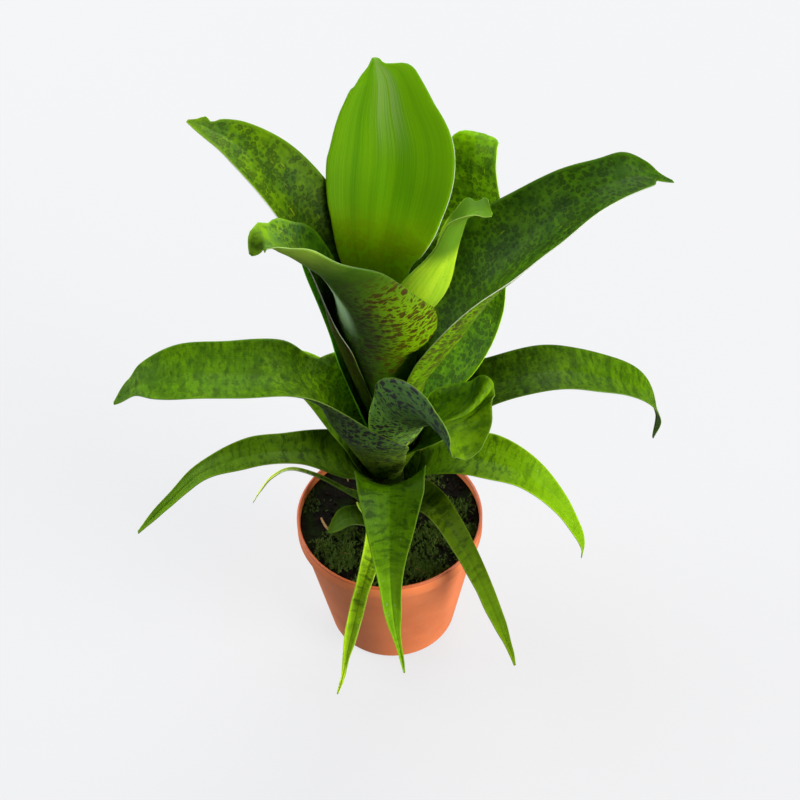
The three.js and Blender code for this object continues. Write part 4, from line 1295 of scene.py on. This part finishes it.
def netted_face(side):
    """Bright green with fine lengthwise lines and wavy darker cross bands near the sheath."""
    leaf, f, veins = begin_leaf("netted", side)
    f.base(f.mottle(3.5).step(0.35, 0.65), (0.105, 0.240, 0.001), leaf.low)
    f.coat(veins.step(0.42, 0.72) * 0.40, (0.20, 0.40, 0.004))
    near = f.along.step(0.74, 0.42)
    f.coat(f.cross_bands(1.6, 0.80) * (near * 0.9 + 0.08), (0.022, 0.065, 0.002))
    f.coat(f.smudges(2.2, 0.9, 0.52, 0.68) * (near * 0.5 + 0.22), (0.035, 0.095, 0.002))
    specks = f.dashes(2.4, 2.0, 0.06, soft=0.03)
    f.coat(specks * 0.35, (0.30, 0.42, 0.10))
    f.coat(f.inside.step(0.8, 0.0) * 0.6, (0.24, 0.44, 0.003))
    return f.skin(veins, 0.38)


def pale_sheath_face(side):
    """Outer faces of the low leaves: green blades on pale sheaths with grey-purple speckles."""
    leaf, f, veins = begin_leaf("pale-sheathed", side)
    f.base(f.mottle(3.0).step(0.35, 0.65), (0.095, 0.205, 0.002), leaf.low)
    f.coat(veins.step(0.4, 0.8) * 0.28, (0.19, 0.36, 0.03))
    sheath = f.along.step(0.50, 0.26)
    f.coat(sheath * 0.9, (0.26, 0.42, 0.03))
    marks = f.dashes(1.6, 0.8, 0.58, 0.34, soft=0.07) * (sheath * 0.8 + 0.15)
    f.coat((marks * 1.2).clamped() * 0.88, (0.040, 0.048, 0.024))
    f.coat(f.inside.step(0.8, 0.0) * 0.45, leaf.margin)
    return f.skin(veins, 0.38, 0.16)


def margin_finish():
    """The thin pale edge of a leaf, with short brown stretches and, on one side of some leaves, a
    painted whitish sheen.
    """
    leaf = bpy.context.scene.bromeliad_leaf
    f = LeafFinish("leaf margin")
    worn = f.noise(f.sheet, 0.28, 3, 0.6)
    # where a whitish sheen is painted along the margin
    white = f.attribute("white_edge", 2)
    green = f.mixed(1.0, leaf.margin, f.tone, "MULTIPLY")
    f.base(white, green, (0.60, 0.63, 0.52))
    f.coat(worn.step(0.58, 0.70) * 0.6, (0.20, 0.11, 0.035))
    return f.surface(0.42 + worn * 0.2, f.noise(f.sheet, 3.0), 0.00005)


KINDS = {
    # the slot and the finishes of the upper and the outer face
    "crown": ("leaf_bright", crown_face, dashed_face),
    "heart": ("leaf_young", heart_face, heart_face),
    "upper": ("leaf_upper", blotched_face, dashed_face),
    "funnel": ("leaf_upper", blotched_face, funnel_face),
    "middle": ("leaf_middle", spotted_face, purple_face),
    "low": ("leaf_low", netted_face, pale_sheath_face),
}


def shared_finish(face, side):
    """The finish of a kind of face, made once and then used again."""
    mark = face.__name__ + side
    for material in bpy.data.materials:
        if material.get("leaf face") == mark:
            return material
    material = face(side)
    material["leaf face"] = mark
    return material


def grow_leaves(*kinds):
    rim = bpy.data.materials.get("leaf margin") or margin_finish()
    for seed, (name, leaf) in enumerate(LEAVES.items(), 1):
        if leaf["kind"] in kinds:
            slot, inside, outside = KINDS[leaf["kind"]]
            faces = [shared_finish(inside, "inside"), shared_finish(outside, "outside"), rim]
            grow_leaf(name, leaf, seed, slot, faces)


class PLANT_OT_crown_leaves(bpy.types.Operator):
    """Grow the bright leaf at the back and the young rolled one"""

    bl_idname = "plant.crown_leaves"
    bl_label = "Crown leaves"

    def execute(self, context):
        grow_leaves("crown", "heart")
        return {"FINISHED"}


class PLANT_OT_upper_leaves(bpy.types.Operator):
    """Grow the dark blotched leaves round the crown"""

    bl_idname = "plant.upper_leaves"
    bl_label = "Upper leaves"

    def execute(self, context):
        grow_leaves("upper", "funnel")
        return {"FINISHED"}


class PLANT_OT_middle_leaves(bpy.types.Operator):
    """Grow the broad leaves with purple-dashed sheaths"""

    bl_idname = "plant.middle_leaves"
    bl_label = "Middle leaves"

    def execute(self, context):
        grow_leaves("middle")
        return {"FINISHED"}


class PLANT_OT_low_leaves(bpy.types.Operator):
    """Grow the narrow leaves that hang over the pot"""

    bl_idname = "plant.low_leaves"
    bl_label = "Low leaves"

    def execute(self, context):
        grow_leaves("low")
        return {"FINISHED"}


# The stage

LENS = 89.24
CAMERA_PLACE = (0.004258, -0.376773, 0.515511)
CAMERA_RIGHT = (0.99951, -0.02331, -0.02106)
CAMERA_UP = (0.03141, 0.74161, 0.67010)
FLOOR_GLOW = 0.715
LIGHT_AIM = (0, 0, 0.1)


def floor_finish():
    f = Finish("studio floor")
    drift = f.noise(f.place(), 1.5, 2)
    pale = tuple(bpy.context.scene.bromeliad_stage.floor)
    f.base(drift * 0.1, pale, tuple(0.97 * part for part in pale))
    glow = {"emission_color": (0.98, 0.985, 1.0, 1.0), "emission_strength": FLOOR_GLOW}
    return f.surface(0.9, specular_ior_level=0.0, **glow)


def hang_light(name, place, size, power, colour):
    """A soft square light that faces the plant."""
    lamp = bpy.data.lights.new(name, "AREA")
    lamp.shape = "SQUARE"
    lamp.size = size
    lamp.energy = power
    lamp.color = colour
    holder = placed(name, lamp)
    holder.location = place
    holder.rotation_mode = "QUATERNION"
    holder.rotation_quaternion = (Vector(LIGHT_AIM) - Vector(place)).to_track_quat("-Z", "Y")


def place_camera():
    """A long lens, looking down over the rim at about 48 degrees."""
    lens = bpy.data.cameras.new("camera")
    lens.sensor_width = 36
    lens.lens = LENS
    lens.clip_start, lens.clip_end = 0.05, 20
    right, up = Vector(CAMERA_RIGHT).normalized(), Vector(CAMERA_UP)
    back = right.cross(up).normalized()
    turn = Matrix((right, back.cross(right), back)).transposed().to_4x4()
    holder = placed("camera", lens)
    holder.matrix_world = Matrix.Translation(CAMERA_PLACE) @ turn
    bpy.context.scene.camera = holder


class PLANT_OT_stage(bpy.types.Operator):
    """Lay the floor, hang the lights and place the camera"""

    bl_idname = "plant.stage"
    bl_label = "Stage"

    def execute(self, context):
        stage = context.scene.bromeliad_stage
        bm = bmesh.new()
        bmesh.ops.create_grid(bm, x_segments=8, y_segments=8, size=6.0)
        floor = placed("floor", mesh_of("floor", bm))
        floor.data.materials.append(floor_finish())
        floor.visible_diffuse = False
        floor.visible_glossy = False
        world = bpy.data.worlds.new("white room")
        world.use_nodes = True
        background = world.node_tree.nodes["Background"]
        background.inputs["Color"].default_value = (0.97, 0.985, 1.0, 1.0)
        background.inputs["Strength"].default_value = stage.sky
        context.scene.world = world
        key, fill = stage.key_power, stage.fill_power
        hang_light("window", (0.81, -0.49, 0.41), 0.6, key, (1.0, 0.985, 0.96))
        hang_light("left light", (-0.80, 0.35, 0.55), 0.9, fill, (0.93, 0.97, 1.0))
        hang_light("back light", (0.25, 0.80, 0.75), 0.8, 0.8 * fill, (1.0, 1.0, 0.97))
        context.scene.view_settings.view_transform = "Standard"
        place_camera()
        return {"FINISHED"}


class PLANT_PT_bromeliad(bpy.types.Panel):
    """Lists what the plant is built from"""

    bl_label = "Potted bromeliad"
    bl_idname = "PLANT_PT_bromeliad"
    bl_space_type = "VIEW_3D"
    bl_region_type = "UI"
    bl_category = "Bromeliad"

    def draw(self, context):
        layout = self.layout
        for settings, operators in PANEL_ROWS.items():
            group = getattr(context.scene, settings)
            box = layout.box()
            for key in group.bl_rna.properties.keys():
                if key not in {"rna_type", "name"}:
                    box.prop(group, key)
            for operator in operators:
                box.operator(operator)


PANEL_ROWS = {
    "bromeliad_pot": ["plant.pot"],
    "bromeliad_soil": ["plant.soil", "plant.moss", "plant.stem"],
    "bromeliad_leaf": [
        "plant.crown_leaves",
        "plant.upper_leaves",
        "plant.middle_leaves",
        "plant.low_leaves",
    ],
    "bromeliad_stage": ["plant.stage"],
}
SETTINGS = {
    "bromeliad_pot": PotSettings,
    "bromeliad_soil": SoilSettings,
    "bromeliad_leaf": LeafSettings,
    "bromeliad_stage": StageSettings,
}
OPERATORS = [
    PLANT_OT_pot,
    PLANT_OT_soil,
    PLANT_OT_moss,
    PLANT_OT_stem,
    PLANT_OT_crown_leaves,
    PLANT_OT_upper_leaves,
    PLANT_OT_middle_leaves,
    PLANT_OT_low_leaves,
    PLANT_OT_stage,
]


def register():
    for group in SETTINGS.values():
        bpy.utils.register_class(group)
    for key, group in SETTINGS.items():
        setattr(bpy.types.Scene, key, bpy.props.PointerProperty(type=group))
    for operator in OPERATORS:
        bpy.utils.register_class(operator)
    bpy.utils.register_class(PLANT_PT_bromeliad)


def unregister():
    bpy.utils.unregister_class(PLANT_PT_bromeliad)
    for operator in reversed(OPERATORS):
        bpy.utils.unregister_class(operator)
    for key in SETTINGS:
        delattr(bpy.types.Scene, key)
    for group in reversed(SETTINGS.values()):
        bpy.utils.unregister_class(group)


def main():
    register()
    bpy.ops.plant.pot()
    bpy.ops.plant.soil()
    bpy.ops.plant.moss()
    bpy.ops.plant.stem()
    bpy.ops.plant.crown_leaves()
    bpy.ops.plant.upper_leaves()
    bpy.ops.plant.middle_leaves()
    bpy.ops.plant.low_leaves()
    bpy.ops.plant.stage()
    bpy.context.view_layer.update()


if __name__ == "__main__":
    main()
